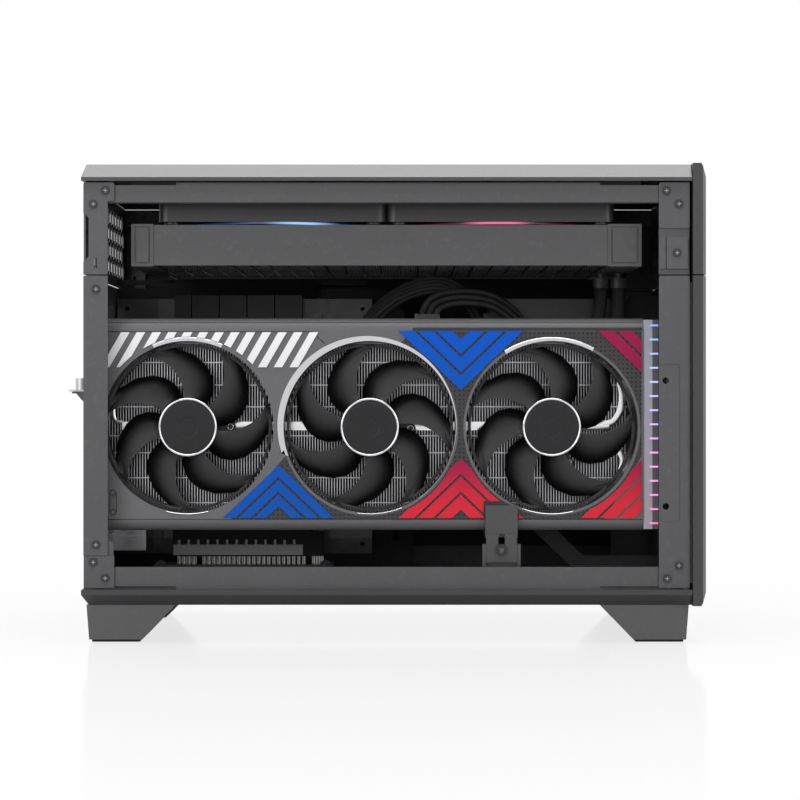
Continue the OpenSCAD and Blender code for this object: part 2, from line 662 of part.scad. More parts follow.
// Curved blade as a lofted skin: nr steps out along the blade and nu steps across it
function blade_points(r0, r1, nr, nu, sweep, chord0, chord1, rise, crown, t) =
    [for (s = [1, -1], i = [0:nr], j = [0:nu])
        let (f = i / nr, r = r0 + (r1 - r0) * f, u = j / nu - 0.5,
            a = sweep * f * f + u * (chord0 + (chord1 - chord0) * f * f),
            z = u * rise + crown * (1 - 4 * u * u) + s * t / 2 * (1 - 1.1 * abs(u)))
        [r * cos(a), r * sin(a), z]];
function blade_faces(nr, nu) =
    let (m = nu + 1, k = (nr + 1) * m,
        quads = concat(
            [for (i = [0:nr - 1], j = [0:nu - 1]) [i * m + j, i * m + j + 1, (i + 1) * m + j + 1, (i + 1) * m + j]],
            [for (i = [0:nr - 1], j = [0:nu - 1])
                [k + i * m + j, k + (i + 1) * m + j, k + (i + 1) * m + j + 1, k + i * m + j + 1]],
            [for (i = [0:nr - 1]) [i * m, (i + 1) * m, k + (i + 1) * m, k + i * m]],
            [for (i = [0:nr - 1]) [i * m + nu, k + i * m + nu, k + (i + 1) * m + nu, (i + 1) * m + nu]],
            [for (j = [0:nu - 1]) [j, k + j, k + j + 1, j + 1]],
            [for (j = [0:nu - 1]) [nr * m + j, nr * m + j + 1, k + nr * m + j + 1, k + nr * m + j]]))
    [for (q = quads, h = [0, 1]) h == 0 ? [q[0], q[1], q[2]] : [q[0], q[2], q[3]]];

// A rotor about the Z axis, its cap at z = 0 and its blades below
module rotor(hub_r, tip_r, depth, blades, ring, pin_r, chord = [36, 40], sweep = 40, crown = 0) difference() {
    union() {
        translate([0, 0, -depth]) cylinder(r = hub_r, h = depth - 1);
        translate([0, 0, -1]) cylinder(r1 = hub_r, r2 = hub_r - 1, h = 1);
        for (b = [0:blades - 1]) rotate(b * 360 / blades) translate([0, 0, -depth / 2 - 0.5])
            polyhedron(blade_points(hub_r - 1, tip_r + (ring ? 0.1 : -0.5), 6, 5, sweep, chord[0], chord[1], depth * 0.72, crown, 1.7),
                blade_faces(6, 5), convexity = 6);
        if (ring) translate([0, 0, -depth * 0.8]) difference() {
            cylinder(r = tip_r + 1, h = depth * 0.55, $fn = 96);
            translate([0, 0, -1]) cylinder(r = tip_r - 0.6, h = depth, $fn = 96);
        }
    }
    translate([0, 0, -depth - 1]) cylinder(r = pin_r, h = depth - 2, $fn = 32);
}

pin_r = 1.5;
gpu_rotor_depth = 12.5;
module gpu_rotor(i, hand) color(deep_black)
    translate([gpu_fan_x[i], gpu_y + 1, gpu_mid]) rotate([90, 0, 0]) mirror([hand, 0, 0])
        rotate([22.9, 48.4, 17.7][i])
            rotor(gpu_hub_r, gpu_duct_r - 2.6, gpu_rotor_depth, gpu_blades, true, pin_r + running, [44, 18], 36, 1.4);
module gpu_fan_rear() gpu_rotor(0, 0);
module gpu_fan_middle() gpu_rotor(1, 1);
module gpu_fan_front() gpu_rotor(2, 0);

// Motor plates behind the card's fans: a disc, three arms that are screwed to the fins, and the rotor's pin
arm_turn = [0, 118, 57];
module gpu_fan_mounts() color(deep_black)
    for (i = [0:2]) translate([gpu_fan_x[i], gpu_y + duct_depth, gpu_mid]) rotate([90, 0, 0]) {
        linear_extrude(1.8) {
            circle(gpu_hub_r - 2);
            for (a = [0, 120, 240]) rotate(arm_turn[i] + a) {
                translate([gpu_hub_r - 4, -2.6]) square([11.4, 5.2]);
                translate([gpu_hub_r + 7.4, 0]) circle(3.2);
            }
        }
        for (a = [0, 120, 240]) rotate(arm_turn[i] + a)
            translate([gpu_hub_r + 7.4, 0, -1.1]) cylinder(r = 2, h = 1.5);
        cylinder(r = pin_r, h = duct_depth - 4.5, $fn = 32);
    }

// Graphics card

module gpu_face_outline() area([gpu_x, shroud_end], [gpu_z + shroud_round, gpu_top - shroud_round]);
module fan_circles(r) for (x = gpu_fan_x) translate([x, gpu_mid]) circle(r, $fn = 96);

module gpu_shroud() color([0.3, 0.3, 0.31]) difference() {
    union() {
        // Long shell with two rounded edges towards the viewer
        translate([gpu_x, 0, 0]) rotate([90, 0, 90]) linear_extrude(shroud_end - gpu_x) difference() {
            union() {
                area([gpu_y + shroud_round, gpu_y + shroud_depth], [gpu_z, gpu_top]);
                area([gpu_y, gpu_y + shroud_round + 1], [gpu_z + shroud_round, gpu_top - shroud_round]);
                for (z = [gpu_z + shroud_round, gpu_top - shroud_round]) translate([gpu_y + shroud_round, z])
                    circle(shroud_round);
            }
            area([gpu_y + shroud_wall, gpu_y + shroud_depth + 1],
                [gpu_z + shroud_wall + 1.6, gpu_top - shroud_wall - 1.6]);
        }
        for (x = gpu_fan_x) rod_y(x, [gpu_y, gpu_y + duct_depth], gpu_mid, gpu_duct_r + 1.6);
        // Closed front end that carries the light bar
        block([shroud_end - 2, shroud_end], [gpu_y + shroud_round, gpu_y + shroud_depth], [gpu_z, gpu_top]);
        block([shroud_end, gpu_end], [gpu_y + 7, gpu_y + shroud_depth], [gpu_z + 1, gpu_top - 1]);
        block([gpu_end - 3.7, gpu_end], [gpu_y + 0.6, gpu_y + 7], [gpu_z + 1, gpu_top - 1]);
    }
    for (x = gpu_fan_x) rod_y(x, [gpu_y - 1, gpu_y + duct_depth + 1], gpu_mid, gpu_duct_r);
}

trim_t = 0.8;
module trim() sheet_y(gpu_y - trim_t, trim_t) difference() {
    intersection() {
        area([gpu_x + 2, shroud_end - 1.5], [gpu_z + shroud_round + 0.8, gpu_top - shroud_round - 0.8]);
        children();
    }
    fan_circles(gpu_duct_r + 2.6);
    area([holder_x[0] - 1, holder_x[1] + 1], [gpu_z - 1, gpu_z + 18]);
}

// Nested chevrons that point from the long edges towards the gap between two fans
module chevrons(x, dir, first, count, w) {
    edge = dir < 0 ? gpu_top : gpu_z;
    for (i = [0:count - 1]) let (a = first - i * (w + 2), k = 1.05)
        polygon([[x - k * a - 6 * k, edge - 6 * dir], [x, edge + dir * a], [x + k * a + 6 * k, edge - 6 * dir],
            [x + k * (a - w) + 6 * k, edge - 6 * dir], [x, edge + dir * (a - w)], [x - k * (a - w) - 6 * k, edge - 6 * dir]]);
}
between = [for (i = [0:1]) (gpu_fan_x[i] + gpu_fan_x[i + 1]) / 2];
module gpu_trim_blue() color([0.05, 0.25, 0.75]) trim() {
    chevrons(between[1], -1, 44, 3, 9);
    chevrons(between[0], 1, 40, 3, 7);
}
module gpu_trim_red() color([0.85, 0.2, 0.25]) trim() {
    chevrons(between[1], 1, 44, 3, 9);
    chevrons(gpu_fan_x[2] + gpu_pitch / 2, -1, 34, 2, 9);
    chevrons(gpu_fan_x[2] + gpu_pitch / 2, 1, 44, 3, 9);
}
module gpu_trim_white() color("white") trim()
    for (i = [0:12]) let (x = gpu_x + 6 + i * 9.6)
        polygon([[x, gpu_top - 30], [x + 5.2, gpu_top - 30], [x + 17.6, gpu_top - 8.6], [x + 12.4, gpu_top - 8.6]]);

fin_y = [gpu_y + duct_depth + 1.2, gpu_pcb_y - 6];
fin_z = [gpu_z + 5.4, gpu_top - 5.4];
module gpu_heatsink() color("silver") {
    pitch = 3.2;
    x0 = gpu_x + 5;
    count = floor((shroud_end - 8 - x0) / pitch);
    sheet_z(fin_z[0], fin_z[1] - fin_z[0]) {
        area([x0, x0 + count * pitch + 0.8], [fin_y[1] - 3, fin_y[1]]);
        for (i = [0:count]) area([x0 + i * pitch, x0 + i * pitch + 0.8], [fin_y[0], fin_y[1] - 2]);
    }
    // Cold plate that meets the card's chip
    block([gpu_x + 110, gpu_x + 150], [fin_y[1], gpu_pcb_y], [gpu_mid - 20, gpu_mid + 20]);
}

gpu_pcb_z = [gpu_z + 2, gpu_top - 4];
module gpu_board() color([0.05, 0.05, 0.06])
    sheet_y(gpu_pcb_y, pcb_t) {
        area([gpu_x + 4, gpu_x + 262], gpu_pcb_z);
        area([slot_x[0] + 1, slot_x[1] - 1], [gpu_pcb_z[0] - 12.5, gpu_pcb_z[0] + 1]);
    }

module gpu_backplate() color([0.2, 0.2, 0.21]) difference() {
    block([gpu_x + 2, shroud_end], [gpu_back - backplate_t, gpu_back], [gpu_z + 2, gpu_top - 2]);
    for (i = [0:11]) block([shroud_end - 76 + i * 6, shroud_end - 73 + i * 6],
        [gpu_back - 4, gpu_back + 1], [gpu_z + 20, gpu_top - 20]);
}

// Three-slot fixing plate with its sockets, its air slots and the tab that is screwed down outside
module gpu_bracket() color("silver") difference() {
    union() {
        block(plate_x, [slot_y0 + 1, slot_y1 - 1], [slot_z0 - 6, tab_z]);
        block([x_rear - tab_reach, plate_x[1]], [slot_y0 + 1, slot_y1 - 1], [tab_z, tab_z + sheet]);
        for (s = sockets) block([wall_rear + 0.1, plate_x[0] + 0.1], [s[0] - s[2] / 2 - 0.6, s[0] + s[2] / 2 + 0.6],
            [s[1] - s[3] / 2 - 0.6, s[1] + s[3] / 2 + 0.6]);
    }
    for (s = sockets) block([wall_rear - 1, plate_x[1] - 0.3], [s[0] - s[2] / 2, s[0] + s[2] / 2],
        [s[1] - s[3] / 2, s[1] + s[3] / 2]);
    for (i = [0:5], j = [0, 1]) block([gpu_x - 2, gpu_x + 2], [slot_y0 + 5 + j * 18, slot_y0 + 18 + j * 18],
        [slot_z0 + 14 + i * 14, slot_z0 + 22 + i * 14]);
    for (i = [0:2]) rod_z(wall_rear - 5, slot_y0 + 12 + i * 20.3, [tab_z - 1, tab_z + 3], 1.9);
}
plate_x = [gpu_x - 1.1, gpu_x - 0.1];
// Display sockets as [y, z, width, height]
sockets = [for (i = [0:4]) [slot_y1 - 9, slot_z0 + 16 + i * 19, 5.2, 15.4]];

bar_y = [gpu_y + 0.6, gpu_y + 7];
dash_count = 15;
module gpu_light_bar() {
    color([0.75, 0.75, 0.78]) block([shroud_end, gpu_end - 3.7], bar_y, [gpu_z + 1, gpu_top - 1]);
    // Light pipes across the bar
    color([0.5, 0.4, 0.9]) for (i = [0:dash_count - 1]) let (z = gpu_z + 4 + i * (gpu_h - 9) / (dash_count - 1))
        block([gpu_end - 5.3, gpu_end - 0.2], [gpu_y, gpu_y + 0.6], [z, z + 1.1]);
}

// Adjustable rest under the card's lower edge
holder_x = [gpu_x + 240.7, gpu_x + 260.3];
holder_y = gpu_y - 3.6;
holder_travel = 8;
holder_screw_z = gpu_z - 11.5;
module gpu_holder() color(plastic_black) difference() {
    union() {
        block(holder_x, [holder_y, holder_y + 1.8], [gpu_z - 4, gpu_z + 15.6]);
        block(holder_x, [holder_y, gpu_y + 26], [gpu_z - 4, gpu_z - 0.3]);
        block([holder_x[0] + 0.4, holder_x[1] - 0.4], [holder_y - 0.9, holder_y + 1.1], [gpu_z - 19, gpu_z - 2]);
    }
    hull() for (z = [0, holder_travel])
        rod_y((holder_x[0] + holder_x[1]) / 2, [holder_y - 3, holder_y + 3], holder_screw_z + z, 2);
}
module holder_base() {
    mid = (holder_x[0] + holder_x[1]) / 2;
    color(plastic_black) difference() {
        block([holder_x[0] - 1.8, holder_x[1] + 1.8], [holder_y - 0.9, holder_y + 6], [z_deck, gpu_z - 8]);
        block([holder_x[0] + 0.2, holder_x[1] - 0.2], [holder_y - 2, holder_y + 1.4], [z_deck + 4, gpu_z]);
        rod_y(mid, [holder_y, holder_y + 7], holder_screw_z, 1.2);
    }
    color("dimgray") difference() {
        union() {
            rod_y(mid, [holder_y - 2.6, holder_y - 1], holder_screw_z, 3.6);
            rod_y(mid, [holder_y - 1, holder_y + 5], holder_screw_z, 1.2);
        }
        rod_y(mid, [holder_y - 3, holder_y - 2], holder_screw_z, 1.5);
    }
}

// Riser

slot_x = [gpu_x + 43, gpu_x + 132];
slot_mid_y = gpu_pcb_y + pcb_t / 2;
riser_z = z_deck + 8;
slot_top = gpu_pcb_z[0] - 3;
module riser_board() {
    color([0.05, 0.05, 0.06]) difference() {
        block([slot_x[0] - 12, slot_x[1] + 14], [slot_mid_y - 9, slot_mid_y + 14], [riser_z, riser_z + pcb_t]);
        for (x = [slot_x[0] - 7, slot_x[1] + 9]) rod_z(x, slot_mid_y, [riser_z - 1, riser_z + 3], 1.6);
    }
    // Threaded posts, and the screws whose heads show
    color("dimgray") for (x = [slot_x[0] - 7, slot_x[1] + 9]) {
        rod_z(x, slot_mid_y, [z_deck, riser_z], 3.4);
        rod_z(x, slot_mid_y, [riser_z, riser_z + pcb_t + 1.6], 1.5);
        rod_y(x, [slot_mid_y - 10.2, slot_mid_y - 9], riser_z + 0.8, 3.8);
    }
    // Flat cable that runs back to the main board
    color(deep_black) block([slot_x[0] + 4, slot_x[1] - 4], [slot_mid_y + 14, board_y - 6], [riser_z, riser_z + 1.4]);
    color(deep_black) block([slot_x[0] + 4, slot_x[1] - 4], [board_y - 7.4, board_y - 6], [riser_z + 1.4, board_z + 12]);
    color(deep_black) block([slot_x[0] + 4, slot_x[1] - 4], [board_y - 7.4, board_y], [board_z + 12, board_z + 22]);
}

module riser_slot() {
    contacts = 26;
    color([0.1, 0.1, 0.11]) difference() {
        block(slot_x, [slot_mid_y - 3.8, slot_mid_y + 3.8], [riser_z + pcb_t + 5, slot_top]);
        block([slot_x[0] + 0.7, slot_x[1] - 0.7], [slot_mid_y - 1, slot_mid_y + 1], [gpu_pcb_z[0] - 12.8, slot_top + 1]);
        for (i = [0:13]) block([slot_x[0] + 5.5 + i * 6, slot_x[0] + 10 + i * 6],
            [slot_mid_y - 5, slot_mid_y - 3], [slot_top - 2.6, slot_top + 1]);
    }
    color([0.7, 0.65, 0.5]) for (i = [0:contacts - 1]) if (i != 4)
        block([slot_x[0] + 3 + i * 3.2, slot_x[0] + 5.2 + i * 3.2], [slot_mid_y - 3, slot_mid_y + 3],
            [riser_z + pcb_t, riser_z + pcb_t + 5]);
}

// Lever at the slot's end that locks the card
latch_pin = [slot_x[1] + 4, slot_top - 5];
module slot_latch() color([0.35, 0.35, 0.36]) difference() {
    union() {
        translate([slot_x[1], 0, slot_top]) sheet_y(slot_mid_y - 2.6, 5.2)
            polygon([[0.8, -5], [4, -8], [7, -8], [7.4, -2], [13, -1.6], [13, 1.6], [0.8, 1.6]]);
    }
    rod_y(latch_pin[0], [slot_mid_y - 4, slot_mid_y + 4], latch_pin[1], 1 + running);
}
module latch_ears() color([0.1, 0.1, 0.11]) {
    for (s = [-1, 1]) block([slot_x[1], slot_x[1] + 7.4],
        [slot_mid_y + s * 3.3 - 0.5, slot_mid_y + s * 3.3 + 0.5], [riser_z + pcb_t, slot_top - 3]);
    rod_y(latch_pin[0], [slot_mid_y - 3.8, slot_mid_y + 3.8], latch_pin[1], 1);
}

// Radiator

module tank(x0, x1) difference() {
    block([x0, x1], [rad_y, rad_y + rad_w], [rad_z0, rad_z1]);
    // Groove round a flat pad on the near and far faces
    for (y = [rad_y - 1, rad_y + rad_w - 0.8]) difference() {
        block([x0 + 2, x1 - 2], [y, y + 1.8], [rad_z0 + 1.6, rad_z1 - 1.6]);
        block([x0 + 3, x1 - 3], [y - 1, y + 3], [rad_z0 + 2.6, rad_z1 - 2.6]);
    }
}
core_x = [rad_x + tank_rear, rad_x + rad_l - tank_front];
hose_x = [rad_x + rad_l - 6.5, rad_x + rad_l - 18];
hose_y = gpu_back + 8;
fitting_h = 9.5;
module radiator() color([0.24, 0.24, 0.25]) {
    tank(rad_x, core_x[0]);
    tank(core_x[1], rad_x + rad_l);
    for (y = [rad_y + 0.6, rad_y + rad_w - 2.6])
        block(core_x, [y, y + 2], [rad_z0 + 0.6, rad_z1 - 0.6]);
    for (x = hose_x) {
        rod_z(x, hose_y, [rad_z0 - 3, rad_z0], 2.6);
        rod_z(x, hose_y, [rad_z0 - fitting_h, rad_z0 - 3], hose_d / 2 + 0.9);
    }
}

module radiator_core() color("dimgray") {
    y0 = rad_y + 2.6;
    y1 = rad_y + rad_w - 2.6;
    nx = 24;
    ny = 9;
    dx = (core_x[1] - core_x[0] - 1) / nx;
    dy = (y1 - y0 - 2) / ny;
    sheet_z(rad_z0 + 1.6, rad_t - 3.2) difference() {
        area(core_x, [y0, y1]);
        for (i = [0:nx - 1], j = [0:ny - 1])
            area([core_x[0] + 1 + i * dx, core_x[0] + i * dx + dx], [y0 + 2 + j * dy, y0 + j * dy + dy]);
    }
}

// The duct, cut out round a motor seat and its four struts
module fan_frame(x) translate([x, fan_mid_y, fan_z]) color(deep_black) difference() {
    h = fan_side / 2;
    seat_t = 2.4;
    union() {
        difference() {
            linear_extrude(fan_t) round_area([-h, h], [-h, h], 6);
            translate([0, 0, seat_t]) cylinder(r = fan_bore, h = fan_t, $fn = 96);
            translate([0, 0, -1]) linear_extrude(seat_t + 2) difference() {
                circle(fan_bore, $fn = 96);
                circle(19);
                for (a = [0:3]) rotate(45 + a * 90) translate([15, -2.5]) square([fan_bore, 5]);
            }
        }
        for (a = [-1, 1], b = [-1, 1]) translate([a * (h - 8), b * (h - 8), -pad_h]) cylinder(r = 5, h = pad_h);
        cylinder(r = pin_r, h = fan_t - 6, $fn = 32);
    }
    for (a = [-1, 1], b = [-1, 1]) translate([a * (h - 7.75), b * (h - 7.75), -2])
        cylinder(r = 2.2, h = fan_t + 4, $fn = 24);
}
fan_x = [fan_mid_x - fan_side / 2, fan_mid_x + fan_side / 2];
module radiator_fan_rear() fan_frame(fan_x[0]);
module radiator_fan_front() fan_frame(fan_x[1]);
module radiator_rotor(x) color(deep_black) translate([x, fan_mid_y, fan_z + fan_t - 1])
    rotor(20, fan_bore - 2, fan_t - 5, 7, false, pin_r + running, [40, 44]);
module radiator_rotor_rear() radiator_rotor(fan_x[0]);
module radiator_rotor_front() radiator_rotor(fan_x[1]);

// Lit rings under the radiator fans, seen as a line in the gap above the radiator
module light_rings() color([0.3, 0.5, 1])
    for (x = fan_x) translate([x, fan_mid_y, fan_z - 1]) difference() {
        cylinder(r = fan_bore + 2.2, h = 1, $fn = 96);
        translate([0, 0, -1]) cylinder(r = fan_bore - 3, h = 3, $fn = 96);
    }

// Hoses and cables

function unit(v) = v / norm(v);
function bezier(p, n) = [for (i = [0:n]) let (t = i / n, s = 1 - t)
    s * s * s * p[0] + 3 * s * s * t * p[1] + 3 * s * t * t * p[2] + t * t * t * p[3]];
// Smooth curve through hand-set points, with n steps for each span
function through(p, n) = let (e = concat([2 * p[0] - p[1]], p, [2 * p[len(p) - 1] - p[len(p) - 2]]))
    concat([for (i = [1:len(p) - 1], k = [0:n - 1]) let (t = k / n, a = e[i - 1], b = e[i], c = e[i + 1], d = e[i + 2])
        0.5 * (2 * b + (c - a) * t + (2 * a - 5 * b + 4 * c - d) * t * t + (3 * b - a - 3 * c + d) * t * t * t)],
        [p[len(p) - 1]]);
function headings(p) = [for (i = [0:len(p) - 1])
    unit(p[min(i + 1, len(p) - 1)] - p[max(i - 1, 0)])];
function carried(t, n0) = [for (i = 0, n = unit(n0 - (n0 * t[0]) * t[0]); i < len(t);
    i = i + 1, n = i < len(t) ? unit(n - (n * t[i]) * t[i]) : n) n];

// Round tube swept along a path; shift moves it sideways within a bundle
module tube(path, r, sides = 8, up = [0, 1, 0], shift = [0, 0]) {
    t = headings(path);
    n = carried(t, up);
    m = len(path);
    points = [for (i = [0:m - 1]) let (b = cross(t[i], n[i])) for (k = [0:sides - 1])
        path[i] + n[i] * (shift[0] + r * cos(k * 360 / sides)) + b * (shift[1] + r * sin(k * 360 / sides))];
    side_faces = [for (i = [0:m - 2], k = [0:sides - 1]) let (l = (k + 1) % sides)
        [i * sides + k, (i + 1) * sides + k, (i + 1) * sides + l, i * sides + l]];
    caps = [[for (k = [0:sides - 1]) k], [for (k = [sides - 1:-1:0]) (m - 1) * sides + k]];
    polyhedron(points, concat([for (f = side_faces, h = [0, 1]) h == 0 ? [f[0], f[1], f[2]] : [f[0], f[2], f[3]]], caps),
        convexity = 6);
}

hose_start = [pump_x + pump_r + 8, board_y - cooler_room + 13, pump_z];
module coolant_hoses() color(deep_black) for (i = [0, 1]) let (
    a = hose_start + [0, 0, i == 0 ? -9 : 9],
    d = [hose_x[i], hose_y, rad_z0 - fitting_h])
    tube(concat([a], bezier([a + [2, 0, 0], a + [(d[0] - a[0]) * 0.75, 0, 0], d - [0, 0, (d[2] - a[2]) * 0.85],
        d - [0, 0, 2]], 18), [d]), hose_d / 2, 10);

module pump_block() {
    color(deep_black) {
        rod_y(pump_x, [gpu_back + 7, board_y - 4], pump_z, pump_r);
        block([pump_x - 28, pump_x + 28], [board_y - 8, board_y - 4], [pump_z - 40, pump_z + 40]);
        for (i = [-9, 9]) rod_x([pump_x + pump_r - 6, hose_start[0]], hose_start[1], hose_start[2] + i, 4);
    }
    color("silver") block([pump_x - 20, pump_x + 20], [board_y - 4, board_y], [pump_z - 20, pump_z + 20]);
}

// Main board

module main_board() {
    color([0.04, 0.04, 0.05]) difference() {
        block([board_x, board_x + board], [board_y, board_y + pcb_t], [board_z, board_z + board]);
        for (x = [hole_in, board - hole_in], z = [hole_in, board - hole_in])
            rod_y(board_x + x, [board_y - 1, board_y + pcb_t + 1], board_z + z, 1.6);
    }
    // Two memory modules in their sockets, and the main power socket
    color([0.08, 0.08, 0.09]) for (i = [0, 1]) {
        block([board_x + 130 + i * 10, board_x + 136 + i * 10], [board_y - 5, board_y], [board_z + 18, board_z + 160]);
        block([board_x + 130.8 + i * 10, board_x + 135.2 + i * 10], [board_y - 27, board_y - 5],
            [board_z + 22, board_z + 155]);
    }
    color([0.1, 0.1, 0.11]) block([plug_x[0], plug_x[1]], [board_y - 12, board_y], plug_z);
}
plug_x = [board_x + board - 15, board_x + board - 5];
plug_z = [board_z + 104, board_z + 156];

// Finned cooler along the board's top edge
module board_heatsink() color([0.2, 0.2, 0.21]) for (i = [0:4]) {
    w = i == 0 ? 11 : 17.6;
    x = board_x + 40 + (i == 0 ? 0 : 11.6 + (i - 1) * 18.3);
    block([x, x + w], [board_y - 18, board_y], [board_z + 148, board_z + 171.5]);
}

// Shield plate and the stacked sockets behind it
module io_ports() {
    openings = [for (i = [0:3]) [io_span_y[1] - 9, io_span_z[0] + 58 + i * 19, 13, 15.4],
        [io_span_y[1] - 27, io_span_z[0] + 77, 14, 16], [io_span_y[1] - 12, io_span_z[0] + 38, 18, 6]];
    jacks = [for (i = [0:2], j = [0, 1]) [io_span_y[1] - 8 - j * 12, io_span_z[0] + 6 + i * 11]];
    color("silver") difference() {
        block([wall_rear + 0.1, wall_rear + sheet], [io_span_y[0] + 0.3, io_span_y[1] - 0.3],
            [io_span_z[0] + 0.3, io_span_z[1] - 0.3]);
        for (o = openings) block([wall_rear - 1, wall_rear + 2], [o[0] - o[2] / 2, o[0] + o[2] / 2],
            [o[1] - o[3] / 2, o[1] + o[3] / 2]);
        for (j = jacks) rod_x([wall_rear - 1, wall_rear + 2], j[0], j[1], 3.4);
    }
    color([0.15, 0.15, 0.16]) difference() {
        block([wall_rear + sheet, board_x + 24], [io_span_y[0] + 6, board_y], [io_span_z[0], io_span_z[1] - 18]);
        for (o = openings) block([wall_rear - 1, board_x + 16], [o[0] - o[2] / 2, o[0] + o[2] / 2],
            [o[1] - o[3] / 2, o[1] + o[3] / 2]);
        for (j = jacks) rod_x([wall_rear - 1, board_x + 16], j[0], j[1], 2.4);
    }
}

// Power supply

psu_y1 = psu_y + psu_t;
psu_mid_x = (psu_x0 + psu_x1) / 2;
psu_mid_z = psu_z0 + psu_h / 2;
module psu_body() color([0.1, 0.1, 0.11]) {
    difference() {
        block([psu_x0, psu_x1], [psu_y, psu_y1], [psu_z0, psu_z0 + psu_h]);
        rod_y(psu_mid_x, [psu_y1 - 18, psu_y1 + 1], psu_mid_z, psu_fan_r);
        // Sockets on the rear-facing side
        for (i = [0:3]) block([psu_x0 - 1, psu_x0 + 8], [psu_y + 6, psu_y + 16],
            [psu_z0 + 14 + i * 27, psu_z0 + 36 + i * 27]);
    }
    rod_y(psu_mid_x, [psu_y1 - 18, psu_y1 - 6.4], psu_mid_z, pin_r);
    // Guard rings and spokes over the fan
    translate([psu_mid_x, psu_y1, psu_mid_z]) rotate([90, 0, 0]) {
        for (r = [14:8:46]) difference() {
            cylinder(r = r + 1.2, h = 1.4);
            translate([0, 0, -1]) cylinder(r = r, h = 4);
        }
        for (a = [0:3]) rotate(45 + a * 90) translate([14.5, -1, 0]) cube([32, 2, 1.4]);
    }
}
module psu_rotor() color([0.14, 0.14, 0.15])
    translate([psu_mid_x, psu_y1 - 2.4, psu_mid_z]) rotate([-90, 0, 0])
        rotor(17, psu_fan_r - 1.5, 13, 7, false, pin_r + running, [38, 42]);

bracket_near_x = [psu_x1 - 21.3, wall_front - sheet];
module psu_bracket() color(steel_black) difference() {
    union() {
        sheet_y(psu_y - sheet) polygon([[bracket_near_x[0], z_deck], [bracket_near_x[1], z_deck],
            [bracket_near_x[1], psu_z0 + psu_h + 2], [bracket_near_x[0] + 12, psu_z0 + psu_h + 2],
            [bracket_near_x[0], psu_z0 + psu_h - 14]]);
        block([bracket_near_x[1] - sheet, bracket_near_x[1]], [psu_y, psu_y1], [z_deck, z_split - 1]);
        block([psu_x1, psu_x1 + sheet], [psu_y, psu_y1], [z_deck, psu_z0 + psu_h + 2]);
        block([psu_x0 + 8, psu_x1], [psu_y, psu_y1], [psu_z0 - sheet, psu_z0]);
    }
    for (z = [0:5]) block([psu_x1 - 1, psu_x1 + 2], [psu_y + 8, psu_y1 - 8],
        [psu_z0 + 8 + z * 18, psu_z0 + 20 + z * 18]);
}

// Mains socket in the rear panel, and its lead to the power supply behind the tray
module power_inlet() {
    color(deep_black) difference() {
        union() {
            block([wall_rear - 2.4, wall_rear], [inlet_y - 15, inlet_y + 15], [inlet_z - 25, inlet_z + 25]);
            block([wall_rear, wall_rear + 20], [inlet_y - 13.7, inlet_y + 13.7], [inlet_z - 11.7, inlet_z + 11.7]);
        }
        block([wall_rear - 3, wall_rear + 15], [inlet_y - 12, inlet_y + 12], [inlet_z - 8, inlet_z + 8]);
    }
    color("silver") for (p = [[-7, -1], [7, -1], [0, 3]])
        block([wall_rear + 1, wall_rear + 15], [inlet_y + p[0] - 1, inlet_y + p[0] + 1], [inlet_z + p[1] - 2, inlet_z + p[1] + 2]);
}

// Main power bundle to the board, and the card's three-strand cable
module power_cables() {
    wire_r = 1.4;
    step = 3;
    x0 = (plug_x[0] + plug_x[1]) / 2;
    z0 = (plug_z[0] + plug_z[1]) / 2 + 8;
    z1 = psu_z0 + psu_h - 19;
    z2 = psu_z0 + 79;
    card_x = gpu_x + 206;
    color(deep_black) {
        block([plug_x[0], plug_x[1]], [board_y - 24, board_y - 12], [plug_z[0] + 2, plug_z[1] - 2]);
        for (z = [z1, z2]) block([psu_x0 - 6, psu_x0 + 7.8], [psu_y + 6.3, psu_y + 15.7], [z - 10.5, z + 10.5]);
        route = through([[x0, board_y - 22, z0], [x0 + 2, board_y - 33, z0 + 4], [x0 + 13, gpu_back + 9, gpu_top + 6],
            [x0 + 31, gpu_back, gpu_top + 19], [x0 + 53, gpu_back - 5, gpu_top + 24],
            [x0 + 71, gpu_back + 4, gpu_top + 16], [psu_x0 - 4.5, psu_y + 10, z1 + 2]], 3);
        for (i = [0:3], j = [0, 1])
            tube(route, wire_r, 6, [0, 0, 1], [(i - 1.5) * step, (j - 0.5) * step]);
    }
    color([0.12, 0.12, 0.13]) {
        block([card_x - 8, card_x + 8], [gpu_back - 21, gpu_back - 11], [fin_z[1], gpu_top + 5]);
        strand = through([[card_x, gpu_back - 16, gpu_top + 3], [card_x + 6, gpu_back - 14, gpu_top + 12],
            [card_x + 22, gpu_back - 8, gpu_top + 16], [card_x + 44, gpu_back + 2, gpu_top + 13],
            [card_x + 61, gpu_back + 7, gpu_top - 2], [card_x + 58, gpu_back + 8, gpu_top - 22],
            [card_x + 34, gpu_back + 10, z2 + 3], [psu_x0 - 15, psu_y + 4, z2 + 1], [psu_x0 - 4.5, psu_y + 11, z2]], 3);
        for (i = [-1:1]) tube(strand, 2, 8, [1, 0, 0], [i * 4.3, 0]);
    }
}

